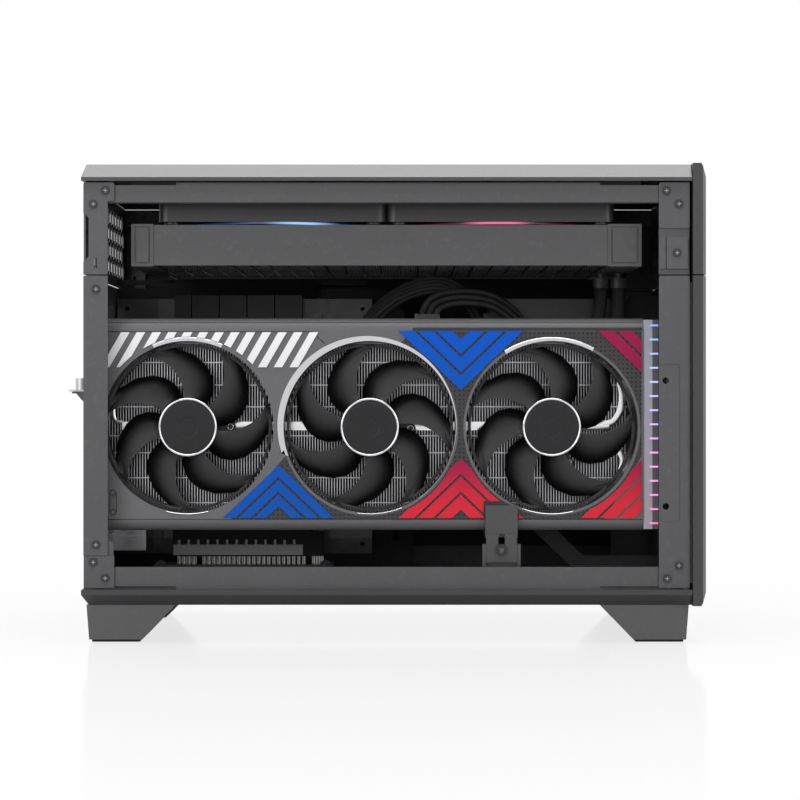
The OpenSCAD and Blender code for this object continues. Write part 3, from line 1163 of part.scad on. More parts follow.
// Flat cable of the front connections: down the front wall, under the power supply and back to the board
module front_cable() color(deep_black) {
    y = gpu_back + 6;
    x0 = board_x + board - 4;
    low = z_deck + 4;
    run = [x0, psu_x0 + 2, psu_x0 + 58, ports_x - pcb_t + 0.4];
    sheet_y(y, 0.8) polygon([[run[0], low + 54], [run[1] - 3, low + 54], [run[2] - 3, low], [run[3], low],
        [run[3], low + 10], [run[2] + 2, low + 10], [run[1] + 2, low + 64], [run[0], low + 64]]);
    block([run[0], run[0] + 0.8], [y, board_y - 6], [low + 54, low + 64]);
    block([run[0] - 1.6, run[0] + 2.4], [board_y - 6, board_y], [low + 52, low + 66]);
    block([run[3], run[3] + 0.8], [y - 5, y + 5], [low, io_z - 13]);
}

// Fasteners

module thumbscrews() for (i = [0:2])
    translate([wall_rear - 5, slot_y0 + 12 + i * 20.3, tab_z + sheet]) {
        cylinder(r = 3.6, h = 7);
        translate([0, 0, -4]) cylinder(r = 1.5, h = 4.5, $fn = 24);
    }

// Pan-head screws in the corner plates, both sides
module face_screw(p) translate([p[0], -y_rail - sheet, p[1]]) rotate([90, 0, 0]) {
    difference() {
        cylinder(r = screw_r, h = 0.7, $fn = 32);
        for (a = [0, 90]) rotate(a) translate([-1.3, -0.3, 0.3]) cube([2.6, 0.6, 1]);
    }
    translate([0, 0, -2]) cylinder(r = 1.4, h = 2.2, $fn = 24);
}
module frame_screws() color("dimgray") {
    thumbscrews();
    both_sides() for (p = concat(rear_top_screws, front_top_screws, rear_low_screws, front_low_screws, post_screws)) face_screw(p);
    both_sides() translate([0, sheet - latch_out, 0])
        face_screw([(latch_x[0] + latch_x[1]) / 2, (latch_z[0] + latch_z[1]) / 2]);
}

base_panel();
rear_panel();
front_frame();
top_frame();
fan_bracket();
latch_bracket();
board_tray();
bottom_cover();
bottom_filter();
foot_rear_near();
foot_rear_far();
foot_front_near();
foot_front_far();
foot_pads();
top_cover();
top_mesh();
side_panel();
front_cover();
front_mesh();
front_io_cover();
front_ports();
power_button();
reset_button();
gpu_shroud();
gpu_trim_blue();
gpu_trim_red();
gpu_trim_white();
gpu_fan_mounts();
gpu_fan_rear();
gpu_fan_middle();
gpu_fan_front();
gpu_heatsink();
gpu_board();
gpu_backplate();
gpu_bracket();
gpu_light_bar();
gpu_holder();
holder_base();
riser_board();
union() { riser_slot(); latch_ears(); }
slot_latch();
radiator();
radiator_core();
radiator_fan_rear();
radiator_fan_front();
radiator_rotor_rear();
radiator_rotor_front();
light_rings();
coolant_hoses();
pump_block();
main_board();
board_heatsink();
io_ports();
psu_body();
psu_rotor();
psu_bracket();
power_inlet();
power_cables();
front_cable();
frame_screws();
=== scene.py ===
# Computer case with its near side open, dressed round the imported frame.
# All sizes are in metres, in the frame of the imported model.
import math

import bpy
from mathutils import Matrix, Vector


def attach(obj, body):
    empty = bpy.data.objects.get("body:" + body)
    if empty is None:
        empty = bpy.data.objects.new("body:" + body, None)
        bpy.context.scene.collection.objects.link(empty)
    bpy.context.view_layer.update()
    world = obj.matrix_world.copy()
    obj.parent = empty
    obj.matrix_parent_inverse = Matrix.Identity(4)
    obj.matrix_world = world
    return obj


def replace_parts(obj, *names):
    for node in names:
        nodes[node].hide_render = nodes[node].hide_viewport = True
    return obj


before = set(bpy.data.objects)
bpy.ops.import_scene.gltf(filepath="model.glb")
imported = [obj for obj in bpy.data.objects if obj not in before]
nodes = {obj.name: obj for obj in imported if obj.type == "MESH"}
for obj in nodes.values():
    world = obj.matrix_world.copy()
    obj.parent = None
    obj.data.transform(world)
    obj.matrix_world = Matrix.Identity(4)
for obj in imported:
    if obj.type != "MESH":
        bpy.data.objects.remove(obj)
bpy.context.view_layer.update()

# The camera stands 1.2 m before the open side, level with the middle of the case, and looks
# straight along +Y. Its lens gives the square frame of the photograph.
camera_spot = (0.0083, -1.2925, 0.147)
lens_mm, sensor_mm = 89.6, 36.0
camera_data = bpy.data.cameras.new("camera")
camera_data.lens = lens_mm
camera_data.sensor_width = sensor_mm
camera = bpy.data.objects.new("camera", camera_data)
camera.location = camera_spot
camera.rotation_euler = (math.radians(90), 0, 0)
bpy.context.scene.collection.objects.link(camera)
bpy.context.scene.camera = camera
bpy.context.scene.view_settings.view_transform = "Standard"


class Wire:
    """An output socket of a shader node, so that shader maths reads as plain sums."""

    def __init__(self, tree, socket):
        self.tree = tree
        self.socket = socket

    def node(self, kind, settings=None, inputs=None, output=0):
        """Adds a node of that kind, makes its settings first, and gives one of its outputs."""
        added = self.tree.nodes.new("ShaderNode" + kind)
        for name, value in (settings or {}).items():
            if name == "stops":
                stops = added.color_ramp.elements
                while len(stops) < len(value):
                    stops.new(1.0)
                for stop, (position, colour) in zip(stops, value):
                    stop.position = position
                    stop.color = colour
            else:
                setattr(added, name, value)
        for name, value in (inputs or {}).items():
            if isinstance(value, Wire):
                self.tree.links.new(value.socket, added.inputs[name])
            else:
                added.inputs[name].default_value = value
        return Wire(self.tree, added.outputs[output])

    def sum_of(self, operation, *values):
        return self.node("Math", {"operation": operation}, dict(enumerate(values)))

    def __add__(self, other):
        return self.sum_of("ADD", self, other)

    def __radd__(self, other):
        return self.sum_of("ADD", other, self)

    def __sub__(self, other):
        return self.sum_of("SUBTRACT", self, other)

    def __rsub__(self, other):
        return self.sum_of("SUBTRACT", other, self)

    def __mul__(self, other):
        return self.sum_of("MULTIPLY", self, other)

    def __rmul__(self, other):
        return self.sum_of("MULTIPLY", other, self)

    def __truediv__(self, other):
        return self.sum_of("DIVIDE", self, other)

    def __mod__(self, other):
        return self.sum_of("FLOORED_MODULO", self, other)

    def __gt__(self, other):
        return self.sum_of("GREATER_THAN", self, other)

    def __lt__(self, other):
        return self.sum_of("LESS_THAN", self, other)

    def __abs__(self):
        return self.sum_of("ABSOLUTE", self)


# The floor is a pale, faintly glossy sheet that turns to the white of the background further
# out. The background is white to the eye and in reflections, and gives a weak even light.
def new_finish(name, colour, roughness, **fixed):
    """A material with a Principled shader, and the wire of its Object coordinates."""
    material = bpy.data.materials.new(name)
    material.use_nodes = True
    tree = material.node_tree
    shader = tree.nodes["Principled BSDF"]
    shader.inputs["Base Color"].default_value = (*colour, 1.0)
    shader.inputs["Roughness"].default_value = roughness
    for socket, value in fixed.items():
        shader.inputs[socket.replace("_", " ")].default_value = value
    place = tree.nodes.new("ShaderNodeTexCoord").outputs["Object"]
    return material, Wire(tree, place)


def step(wire, low, high):
    """0 below low and 1 above high, with a soft change between them."""
    return wire.node("MapRange", {"interpolation_type": "SMOOTHSTEP"},
                     {"Value": wire, "From Min": low, "From Max": high})


white = (1.0, 1.0, 1.0, 1.0)
floor_size, floor_level = 8.0, -0.0004
pale_to, white_from, white_share = 0.20, 0.75, 0.76
bpy.ops.object.select_all(action="DESELECT")
bpy.ops.mesh.primitive_plane_add(size=floor_size, location=(0, 0, floor_level))
floor = bpy.context.object
floor.name = "floor"
floor_finish, floor_place = new_finish("floor_sheet", (0.62, 0.62, 0.625), 0.10,
                                       Specular_IOR_Level=0.30)
floor_tree = floor_finish.node_tree
floor_sheet = Wire(floor_tree, floor_tree.nodes["Principled BSDF"].outputs[0])
to_eye = floor_place.node("LightPath", output="Is Camera Ray")
distance = floor_place.node("VectorMath", {"operation": "LENGTH"}, {0: floor_place}, "Value")
far_out = step(distance, pale_to, white_from)
white_light = floor_place.node("Emission", inputs={"Color": white, "Strength": 1.0})
floor_mix = floor_place.node("MixShader", inputs={
    0: (white_share + far_out * (1 - white_share)) * to_eye, 1: floor_sheet, 2: white_light})
floor_tree.links.new(floor_mix.socket, floor_tree.nodes["Material Output"].inputs["Surface"])
floor.data.materials.append(floor_finish)

sky_strength = 0.36
world = bpy.data.worlds.new("studio")
bpy.context.scene.world = world
world.use_nodes = True
world_tree = world.node_tree
even_light = world_tree.nodes["Background"]
even_light.inputs["Color"].default_value = white
even_light.inputs["Strength"].default_value = sky_strength
sky = Wire(world_tree, even_light.outputs[0])
white_sky = sky.node("Background", inputs={"Color": white, "Strength": 1.0})
rays = [sky.node("LightPath", output=name)
        for name in ("Is Camera Ray", "Is Glossy Ray", "Is Transmission Ray")]
shows_white = sky.sum_of("MAXIMUM", sky.sum_of("MAXIMUM", rays[0], rays[1]), rays[2])
sky_mix = sky.node("MixShader", inputs={0: shows_white, 1: sky, 2: white_sky})
world_tree.links.new(sky_mix.socket, world_tree.nodes["World Output"].inputs["Surface"])

# Three soft boxes light the case: a wide one above it, one before it on the left, and a weak
# one before it on the right.
for name, place, aim, side, watts in (
        ("light_above", (0.0, -0.10, 1.30), (0.0, -0.05, 0.20), 1.2, 24.0),
        ("light_left", (-1.1, -1.4, 0.70), (0.0, 0.0, 0.15), 0.9, 11.0),
        ("light_right", (1.1, -1.3, 0.55), (0.0, 0.0, 0.15), 0.9, 6.0)):
    lamp_data = bpy.data.lights.new(name, "AREA")
    lamp_data.size = side
    lamp_data.energy = watts
    lamp = bpy.data.objects.new(name, lamp_data)
    lamp.location = place
    lamp.rotation_euler = (Vector(aim) - Vector(place)).to_track_quat("-Z", "Y").to_euler()
    bpy.context.scene.collection.objects.link(lamp)


# The frame is folded from black powder-coated steel sheet, screwed together. The coat has a
# fine even grain, a satin shine and a little dust.
def feed(material, socket, wire):
    """Joins a wire to a socket of the material's Principled shader."""
    shader = material.node_tree.nodes["Principled BSDF"]
    material.node_tree.links.new(wire.socket, shader.inputs[socket])


def noise(place, scale, detail=2.0):
    return place.node("TexNoise", inputs={"Vector": place, "Scale": scale, "Detail": detail})


def paint(mask, under, over):
    """One colour over another where the mask is 1. Each is a wire or three numbers."""
    under, over = [side if isinstance(side, Wire) else (*side, 1.0) for side in (under, over)]
    return mask.node("Mix", {"data_type": "RGBA"}, {0: mask, 6: under, 7: over}, 2)


def along(place, axis):
    return place.node("SeparateXYZ", inputs={0: place}, output="XYZ"[axis])


def raise_grain(material, height, distance):
    """Turns a height wire into a bump on the material."""
    bump = height.node("Bump", inputs={"Height": height, "Distance": distance}, output="Normal")
    feed(material, "Normal", bump)


def coat(material, *names):
    """Gives CAD nodes that material."""
    for name in names:
        node = nodes[name]
        if not node.material_slots:
            node.data.materials.append(material)
        for slot in node.material_slots:
            slot.material = material


def grained(name, dark, light, roughness, grain, depth, spread=0.12, **fixed):
    """A coat with a fine grain in it, cloudy patches of shine and a trace of dust."""
    material, place = new_finish(name, dark, roughness, **fixed)
    cloud = noise(place, 22.0)
    dust = step(noise(place, 260.0, 4.0), 0.52, 0.80)
    feed(material, "Base Color", paint(dust * 0.5 + cloud * 0.3, dark, light))
    feed(material, "Roughness", roughness - spread / 2 + cloud * spread)
    raise_grain(material, noise(place, grain, 3.0), depth)
    return material, place


sheet_grain, far_face = 2600.0, 0.0921
frame_coat, _ = grained("powder_coat", (0.055, 0.055, 0.058), (0.089, 0.089, 0.093), 0.50,
                        sheet_grain, 0.00003)
coat(frame_coat, "base_panel", "rear_panel", "front_frame", "top_frame", "latch_bracket")
# The tray, brackets and side panel take a darker copy of the coat. Their faces within the case are
# painted near black, a painted shade for the unlit inside. Only faces beyond the far side keep a
# tone like the frame's.
shaded_inner_coat, inner_place = grained("powder_coat_inside_painted_shade", (0.014, 0.014, 0.015),
                                  (0.026, 0.026, 0.028), 0.52, sheet_grain, 0.00003,
                                  Specular_IOR_Level=0.15)
shade = noise(inner_place, 22.0)
inside = paint(shade, (0.013, 0.013, 0.014), (0.022, 0.022, 0.024))
outside = paint(shade, (0.060, 0.060, 0.063), (0.080, 0.080, 0.084))
# Painted shade: faces on the inner side of the far face get the near black colour.
feed(shaded_inner_coat, "Base Color", paint(along(inner_place, 1) > far_face, inside, outside))
coat(shaded_inner_coat, "board_tray", "psu_bracket", "fan_bracket", "side_panel")

# The covers, feet and brackets at the outside are moulded in black ABS. Their skin has the
# fine spark-eroded grain of the mould.
mould_grain, fine_grain = 1900.0, 1500.0
cover_plastic, _ = grained("moulded_plastic", (0.026, 0.026, 0.028), (0.040, 0.040, 0.042), 0.42,
                           mould_grain, 0.00005)
coat(cover_plastic, "bottom_cover", "front_cover", "front_io_cover", "power_button",
     "reset_button")
pale_plastic, _ = grained("moulded_plastic_pale", (0.076, 0.076, 0.079), (0.103, 0.103, 0.107),
                          0.40, mould_grain, 0.00005)
coat(pale_plastic, "foot_rear_near", "foot_rear_far", "foot_front_near", "foot_front_far")
# The lid is painted paler than the other covers, a painted highlight for the lamp above it. The
# card's holder takes the same copy.
lid_dark, lid_light = (0.045, 0.045, 0.047), (0.062, 0.062, 0.065)
lit_lid_plastic, _ = grained("moulded_plastic_lid_painted_light", lid_dark, lid_light, 0.30, mould_grain, 0.00004,
                         0.08)
coat(lit_lid_plastic, "top_cover", "gpu_holder")
sole_rubber, _ = grained("sole_rubber", (0.010, 0.010, 0.011), (0.022, 0.022, 0.023), 0.78,
                         fine_grain, 0.00008)
coat(sole_rubber, "foot_pads")

# The base of the card's holder is moulded like the lid. What stands out from it is its screw,
# whose cross is told from the head by its depth.
screw_skin = 0.00004
head_back, cross_floor = -0.08105, -0.0821
base_plastic, base_place = grained("moulded_plastic_base", lid_dark, lid_light, 0.34,
                                   mould_grain, 0.00004)
base_depth = along(base_place, 1)
base_shade = paint(noise(base_place, 900.0), lid_dark, lid_light)
screw_shade = paint(abs(base_depth - cross_floor) < screw_skin, (0.010, 0.010, 0.011),
                    (0.10, 0.10, 0.105))
feed(base_plastic, "Base Color", paint(base_depth < head_back, base_shade, screw_shade))
coat(base_plastic, "holder_base")


# The dust meshes behind the covers are woven from fine black nylon, about one thread to the
# millimetre. The net reads as a grid of small dark holes.
def from_middle(wire, pitch):
    """In a row of equal cells, the distance to the middle of the cell, from 0 to 0.5."""
    return abs(wire % pitch / pitch - 0.5)


def woven(name, pitch, across, up):
    """A net of threads along two of the axes, with a given number of metres between them."""
    material, place = new_finish(name, net_thread, 0.62)
    grid = [from_middle(along(place, axis), pitch) for axis in (across, up)]
    threads = step(place.sum_of("MAXIMUM", *grid), 0.30, 0.36)
    feed(material, "Base Color", paint(threads, net_gap, net_thread))
    raise_grain(material, threads, 0.0001)
    return material


net_thread, net_gap = (0.030, 0.030, 0.032), (0.004, 0.004, 0.004)
coat(woven("top_net", 0.0011, 0, 1), "top_mesh")
coat(woven("front_net", 0.0011, 1, 2), "front_mesh")
coat(woven("floor_net", 0.0009, 0, 1), "bottom_filter")

# Small machine screws hold the frame: black cross-head screws in the sheets, and three silver
# knurled ones at the rear for the card's tab.
knurled_from = -0.1845
cross_depths = (0.0900, 0.0906)
screw_black, screw_place = new_finish("screw_black", (0.050, 0.050, 0.054), 0.34, Metallic=0.6)
screw_depth = abs(along(screw_place, 1))
in_cross = [abs(screw_depth - depth) < screw_skin for depth in cross_depths]
sheet_screw = paint(in_cross[0] + in_cross[1], (0.036, 0.036, 0.039), (0.34, 0.34, 0.35))
feed(screw_black, "Base Color", paint(along(screw_place, 0) < knurled_from, sheet_screw,
                                      (0.55, 0.55, 0.57)))
feed(screw_black, "Roughness", 0.30 + noise(screw_place, 900.0) * 0.16)
coat(screw_black, "frame_screws")

# The card's long shroud is a grey plastic shell with a matte, faintly speckled coat. Its shine
# changes a little from place to place.
shroud_coat, shroud_place = new_finish("shroud_coat", (0.100, 0.100, 0.104), 0.42)
speckle = noise(shroud_place, 3200.0)
feed(shroud_coat, "Base Color", paint(step(speckle, 0.35, 0.75), (0.088, 0.088, 0.092),
                                      (0.118, 0.118, 0.122)))
feed(shroud_coat, "Roughness", 0.38 + noise(shroud_place, 14.0) * 0.12)
raise_grain(shroud_coat, speckle, 0.00002)
coat(shroud_coat, "gpu_shroud")


# Seven curved blades on a hub, joined by a ring at their tips, moulded in satin black. Their
# colour is painted darkest where they lean back into the duct and palest at their front edges:
# painted shade and a painted highlight by depth.
def only(piece):
    """Selects that piece and nothing else."""
    bpy.ops.object.select_all(action="DESELECT")
    piece.select_set(True)
    bpy.context.view_layer.objects.active = piece


def settle(piece, name, material, body, smooth=30):
    """Puts a finished piece's place in its mesh, turns its faces outwards, and seats it."""
    if bpy.context.mode != "OBJECT":
        bpy.ops.object.mode_set(mode="OBJECT")
    only(piece)
    bpy.ops.object.transform_apply(location=True, rotation=True, scale=True)
    bpy.ops.object.mode_set(mode="EDIT")
    bpy.ops.mesh.select_all(action="SELECT")
    bpy.ops.mesh.normals_make_consistent(inside=False)
    bpy.ops.object.mode_set(mode="OBJECT")
    if smooth:
        bpy.ops.object.shade_smooth_by_angle(angle=math.radians(smooth))
    piece.name = name
    piece.data.name = name
    piece.data.materials.clear()
    piece.data.materials.append(material)
    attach(piece, body)
    return piece


def smooth_copy(node, name, material, body):
    """A copy of a CAD rotor with its points joined and its curves shaded smooth."""
    piece = nodes[node].copy()
    piece.data = nodes[node].data.copy()
    piece.parent = None
    bpy.context.scene.collection.objects.link(piece)
    piece.matrix_world = nodes[node].matrix_world.copy()
    only(piece)
    bpy.ops.object.mode_set(mode="EDIT")
    bpy.ops.mesh.select_all(action="SELECT")
    bpy.ops.mesh.remove_doubles(threshold=0.000002)
    settle(piece, name, material, body, 40)
    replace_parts(piece, node)


card_fans = {"rear": -0.1215, "middle": -0.0102, "front": 0.1011}
fan_height = 0.1304
painted_shade_depth, painted_light_depth = 0.0674, 0.0755
blade_plastic, blade_place = new_finish("blade_plastic", (0.016, 0.016, 0.017), 0.40,
                                        Specular_IOR_Level=0.08)
# Painted light: the blades' colour runs from painted shade deep in the duct to a painted highlight
# at their front edges.
blade_painted_light = step(0 - along(blade_place, 1), painted_shade_depth, painted_light_depth)
feed(blade_plastic, "Base Color", paint(blade_painted_light, (0.005, 0.005, 0.005),
                                        (0.048, 0.048, 0.050)))
feed(blade_plastic, "Roughness", 0.34 + noise(blade_place, 60.0) * 0.14)
raise_grain(blade_plastic, noise(blade_place, 1400.0), 0.00002)
for which in card_fans:
    smooth_copy("gpu_fan_" + which, "card_rotor_" + which, blade_plastic, "card_fan_" + which)


# Each hub carries a flat dark disc in a polished ring. The ring is pressed over the rim of the
# hub, and the disc has two fine turned lines.
def turned_ring(centre, radius, breadth, depth, start=0.0, sweep=360.0, steps=96):
    """A ring round an axis along Y: an oval section, spun through an angle from +X towards -Z."""
    x, y, z = centre
    bpy.ops.object.select_all(action="DESELECT")
    bpy.ops.mesh.primitive_circle_add(vertices=8, radius=1.0, location=(x + radius, y, z),
                                      fill_type="NGON" if sweep < 360.0 else "NOTHING")
    ring = bpy.context.object
    ring.scale = (breadth / 2, depth / 2, 1.0)
    bpy.ops.object.transform_apply(location=True, rotation=True, scale=True)
    bpy.ops.object.mode_set(mode="EDIT")
    bpy.ops.mesh.select_all(action="SELECT")
    if start:
        bpy.ops.mesh.spin(steps=1, dupli=True, angle=math.radians(-start), center=centre,
                          axis=(0, 1, 0))
        bpy.ops.mesh.select_all(action="INVERT")
        bpy.ops.mesh.delete(type="VERT")
        bpy.ops.mesh.select_all(action="SELECT")
    bpy.ops.mesh.spin(steps=steps, angle=math.radians(-sweep), center=centre, axis=(0, 1, 0))
    bpy.ops.mesh.select_all(action="SELECT")
    bpy.ops.mesh.remove_doubles(threshold=0.000005)
    bpy.ops.object.mode_set(mode="OBJECT")
    return ring


def cylinder(centre, radius, depth):
    """A cylinder along Y."""
    bpy.ops.object.select_all(action="DESELECT")
    bpy.ops.mesh.primitive_cylinder_add(vertices=96, radius=radius, depth=depth, location=centre,
                                        rotation=(math.radians(90), 0, 0))
    return bpy.context.object


def pick(piece, wanted):
    """Leaves edit mode with just the faces selected for which wanted(face) is true."""
    bpy.ops.object.mode_set(mode="EDIT")
    bpy.ops.mesh.select_mode(type="FACE")
    bpy.ops.mesh.select_all(action="DESELECT")
    bpy.ops.object.mode_set(mode="OBJECT")
    for face in piece.data.polygons:
        face.select = bool(wanted(face))
    bpy.ops.object.mode_set(mode="EDIT")


hub_front, hub_radius = -0.0756, 0.0176
hub_ring_radius, hub_ring_wide, hub_ring_deep = hub_radius - 0.0004, 0.0015, 0.0014
disc_radius, disc_thick = hub_radius - 0.0010, 0.0006
disc_insets = ((0.0012, 0.0), (0.0004, -0.00018), (0.0086, 0.0), (0.0004, 0.00018))
ring_steel, ring_place = new_finish("polished_ring", (0.62, 0.62, 0.64), 0.16, Metallic=1.0)
feed(ring_steel, "Roughness", 0.12 + noise(ring_place, 300.0) * 0.10)
disc_grey, disc_place = new_finish("hub_disc", (0.022, 0.022, 0.024), 0.42,
                                   Specular_IOR_Level=0.12)
feed(disc_grey, "Base Color", paint(noise(disc_place, 900.0, 3.0), (0.018, 0.018, 0.019),
                                    (0.028, 0.028, 0.030)))
for which, fan_x in card_fans.items():
    hub_spot = (fan_x, hub_front, fan_height)
    ring = turned_ring(hub_spot, hub_ring_radius, hub_ring_wide, hub_ring_deep)
    settle(ring, "hub_ring_" + which, ring_steel, "card_fan_" + which, 60)
    disc = cylinder(hub_spot, disc_radius, disc_thick)
    bpy.ops.object.transform_apply(location=True, rotation=True, scale=True)
    pick(disc, lambda face: face.normal.y < -0.9)
    for inset, rise in disc_insets:
        bpy.ops.mesh.inset(thickness=inset)
        bpy.ops.transform.translate(value=(0, rise, 0))
    settle(disc, "hub_disc_" + which, disc_grey, "card_fan_" + which, 20)

# Thin bright trims stand on the rims of the fan openings: a broad crescent round the rear side
# of the middle fan, and narrow arcs over and under the fans.
duct_radius, face_y = 0.0526, -0.0765
arc_y, arc_deep = face_y - 0.0003, 0.0010
for arc, fan, start, sweep, wide in (
        ("rear_top", "rear", 247.0, 46.0, 0.0024), ("rear_foot", "rear", 76.0, 28.0, 0.0007),
        ("middle_foot", "middle", 68.0, 30.0, 0.0006),
        ("front_top", "front", 238.0, 60.0, 0.0024), ("front_foot", "front", 76.0, 34.0, 0.0007)):
    trim = turned_ring((card_fans[fan], arc_y, fan_height), duct_radius + wide / 2, wide,
                       arc_deep, start, sweep, 48)
    settle(trim, "rim_arc_" + arc, ring_steel, "case", 60)


def add_circle(x, z, radius):
    """Adds an edge of the crescent, as a circle in the plane of its front."""
    bpy.ops.mesh.primitive_circle_add(vertices=128, radius=radius, location=(x, crescent_y, z),
                                      rotation=(math.radians(90), 0, 0))


crescent_wide, crescent_deep, crescent_y = 0.0038, 0.0011, face_y - 0.0006
crescent_in, crescent_out = duct_radius + 0.0001, duct_radius + 0.0002 + crescent_wide / 2
shift_x, shift_z = crescent_wide / 2 * 0.86, crescent_wide / 2 * 0.5
crescent_foot, foot_heading = (card_fans["middle"] - 0.0516, 0, 0.1135), (-0.31, 0, -0.95)
bpy.ops.object.select_all(action="DESELECT")
add_circle(card_fans["middle"] - shift_x, fan_height + shift_z, crescent_out)
crescent = bpy.context.object
bpy.ops.object.mode_set(mode="EDIT")
add_circle(card_fans["middle"], fan_height, crescent_in)
bpy.ops.mesh.select_all(action="SELECT")
bpy.ops.mesh.bridge_edge_loops()
bpy.ops.mesh.select_all(action="SELECT")
bpy.ops.mesh.bisect(plane_co=crescent_foot, plane_no=foot_heading, clear_outer=True)
bpy.ops.mesh.select_all(action="SELECT")
bpy.ops.mesh.extrude_region_move(TRANSFORM_OT_translate={"value": (0, crescent_deep, 0)})
bpy.ops.object.mode_set(mode="OBJECT")
settle(crescent, "rim_crescent_middle", ring_steel, "case", 20)

# The motor plates behind the rotors are steel, painted black. Each of their arms ends in a
# small bright ring screw.
screw_y, screw_out = -0.0605, 0.025
screw_radius, screw_wide, screw_deep = 0.0017, 0.0007, 0.0008
arm_turns = {"rear": 0.0, "middle": 118.0, "front": 57.0}
plate_paint, _ = grained("motor_plate", (0.016, 0.016, 0.017), (0.030, 0.030, 0.032), 0.40,
                         1200.0, 0.00003)
coat(plate_paint, "gpu_fan_mounts")
for which, fan_x in card_fans.items():
    for arm in range(3):
        turn = math.radians(arm_turns[which] + 120 * arm)
        spot = (fan_x + screw_out * math.cos(turn), screw_y,
                fan_height + screw_out * math.sin(turn))
        rim = turned_ring(spot, screw_radius, screw_wide, screw_deep, steps=24)
        settle(rim, "motor_screw_%s_%d" % (which, arm + 1), ring_steel, "case", 60)


# The heat sink is a stack of thin aluminium fins, folded over at their edges and hooked into
# each other by rows of small tabs. A thick plate at the back carries them. Behind their front
# edges the fins and the plate are painted dark, a painted shade between the fins.
def add_block(low, high):
    """Adds a block between two corners: a new piece, or more of the piece in edit mode."""
    bpy.ops.mesh.primitive_cube_add(size=1.0, location=[(a + b) / 2 for a, b in zip(low, high)],
                                    scale=[b - a for a, b in zip(low, high)])


def new_block(low, high):
    """A block between two corners, as a piece with its place and size in its mesh."""
    bpy.ops.object.select_all(action="DESELECT")
    add_block(low, high)
    bpy.ops.object.transform_apply(location=True, rotation=True, scale=True)
    return bpy.context.object


def apply_only(piece, modifier):
    """Works a modifier into its piece's mesh."""
    only(piece)
    bpy.ops.object.modifier_apply(modifier=modifier.name)


def in_a_row(piece, pitch, count):
    """Repeats a piece along X."""
    row = piece.modifiers.new("row", "ARRAY")
    row.use_relative_offset = False
    row.use_constant_offset = True
    row.constant_offset_displace = (pitch, 0, 0)
    row.count = count
    apply_only(piece, row)


fin_first, fin_last, fin_pitch, fin_sheet = -0.1754, 0.1490, 0.0017, 0.00050
fin_front, fin_back, fin_low, fin_high = -0.0573, -0.0210, 0.0726, 0.1916
tab_rows = (0.0830, 0.0985, 0.1140, 0.1245, 0.1425, 0.1560, 0.1700, 0.1820)
tab_high, tab_deep, lip = 0.0006, 0.0020, 0.0005
base_thick = 0.0030
painted_shade_behind, painted_light_before = 0.0560, 0.0571
fin_metal, fin_place = new_finish("fin_aluminium", (0.62, 0.62, 0.64), 0.34, Metallic=0.85)
fin_streak = noise(fin_place, 420.0, 3.0)
# Painted shade: only the fins' front edges show the bright metal, and everything deeper is painted
# near black.
fin_painted_light = step(0 - along(fin_place, 1), painted_shade_behind, painted_light_before)
bright_fin = paint(fin_streak, (0.40, 0.40, 0.415), (0.64, 0.64, 0.655))
feed(fin_metal, "Base Color", paint(fin_painted_light, (0.030, 0.030, 0.032), bright_fin))
feed(fin_metal, "Roughness", 0.30 + fin_streak * 0.20)
fins = new_block((fin_first, fin_front, fin_low), (fin_first + fin_sheet, fin_back, fin_high))
heights = [height for row in tab_rows for height in (row, row + tab_high)]
heights += [fin_low + lip, fin_high - lip]
bpy.ops.object.mode_set(mode="EDIT")
bpy.ops.mesh.select_all(action="SELECT")
bpy.ops.mesh.bisect(plane_co=(0, fin_front + tab_deep, 0), plane_no=(0, 1, 0))
for height in heights:
    bpy.ops.mesh.select_all(action="SELECT")
    bpy.ops.mesh.bisect(plane_co=(0, 0, height), plane_no=(0, 0, 1))
bpy.ops.object.mode_set(mode="OBJECT")


def folds_over(face):
    """The edge strips of a fin, and its small tabs at the front, on the side to the next fin."""
    y, z = face.center.y, face.center.z
    tab = y < fin_front + tab_deep and any(row < z < row + tab_high for row in tab_rows)
    return face.normal.x > 0.5 and (tab or z < fin_low + lip or z > fin_high - lip)


pick(fins, folds_over)
bpy.ops.mesh.extrude_region_move(TRANSFORM_OT_translate={"value": (fin_pitch - fin_sheet, 0, 0)})
bpy.ops.object.mode_set(mode="OBJECT")
in_a_row(fins, fin_pitch, int((fin_last - fin_first) / fin_pitch) + 1)
settle(fins, "fin_stack", fin_metal, "case", 0)
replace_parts(fins, "gpu_heatsink")
fin_base = new_block((fin_first, fin_back, fin_low), (fin_last, fin_back + base_thick, fin_high))
settle(fin_base, "fin_base", fin_metal, "case", 0)
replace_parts(fin_base, "gpu_heatsink")

# Bright nickel-plated heat pipes, pressed flat, cross before the fins at the level of the
# hubs and turn up or down at their ends.
nickel, nickel_place = new_finish("nickel_plate", (0.78, 0.78, 0.79), 0.20, Metallic=1.0)
feed(nickel, "Roughness", 0.16 + noise(nickel_place, 200.0, 3.0) * 0.14)


def through(spots, count):
    """A smooth curve through the spots, with count steps between neighbours."""
    spots = [Vector(s) for s in spots]
    ends = [2 * spots[0] - spots[1], *spots, 2 * spots[-1] - spots[-2]]
    points = []
    for a, b, c, d in zip(ends, ends[1:], ends[2:], ends[3:]):
        for i in range(count):
            t = i / count
            points.append(0.5 * (2 * b + (c - a) * t + (2 * a - 5 * b + 4 * c - d) * t * t
                                 + (3 * b - a - 3 * c + d) * t * t * t))
    return points + [spots[-1]]


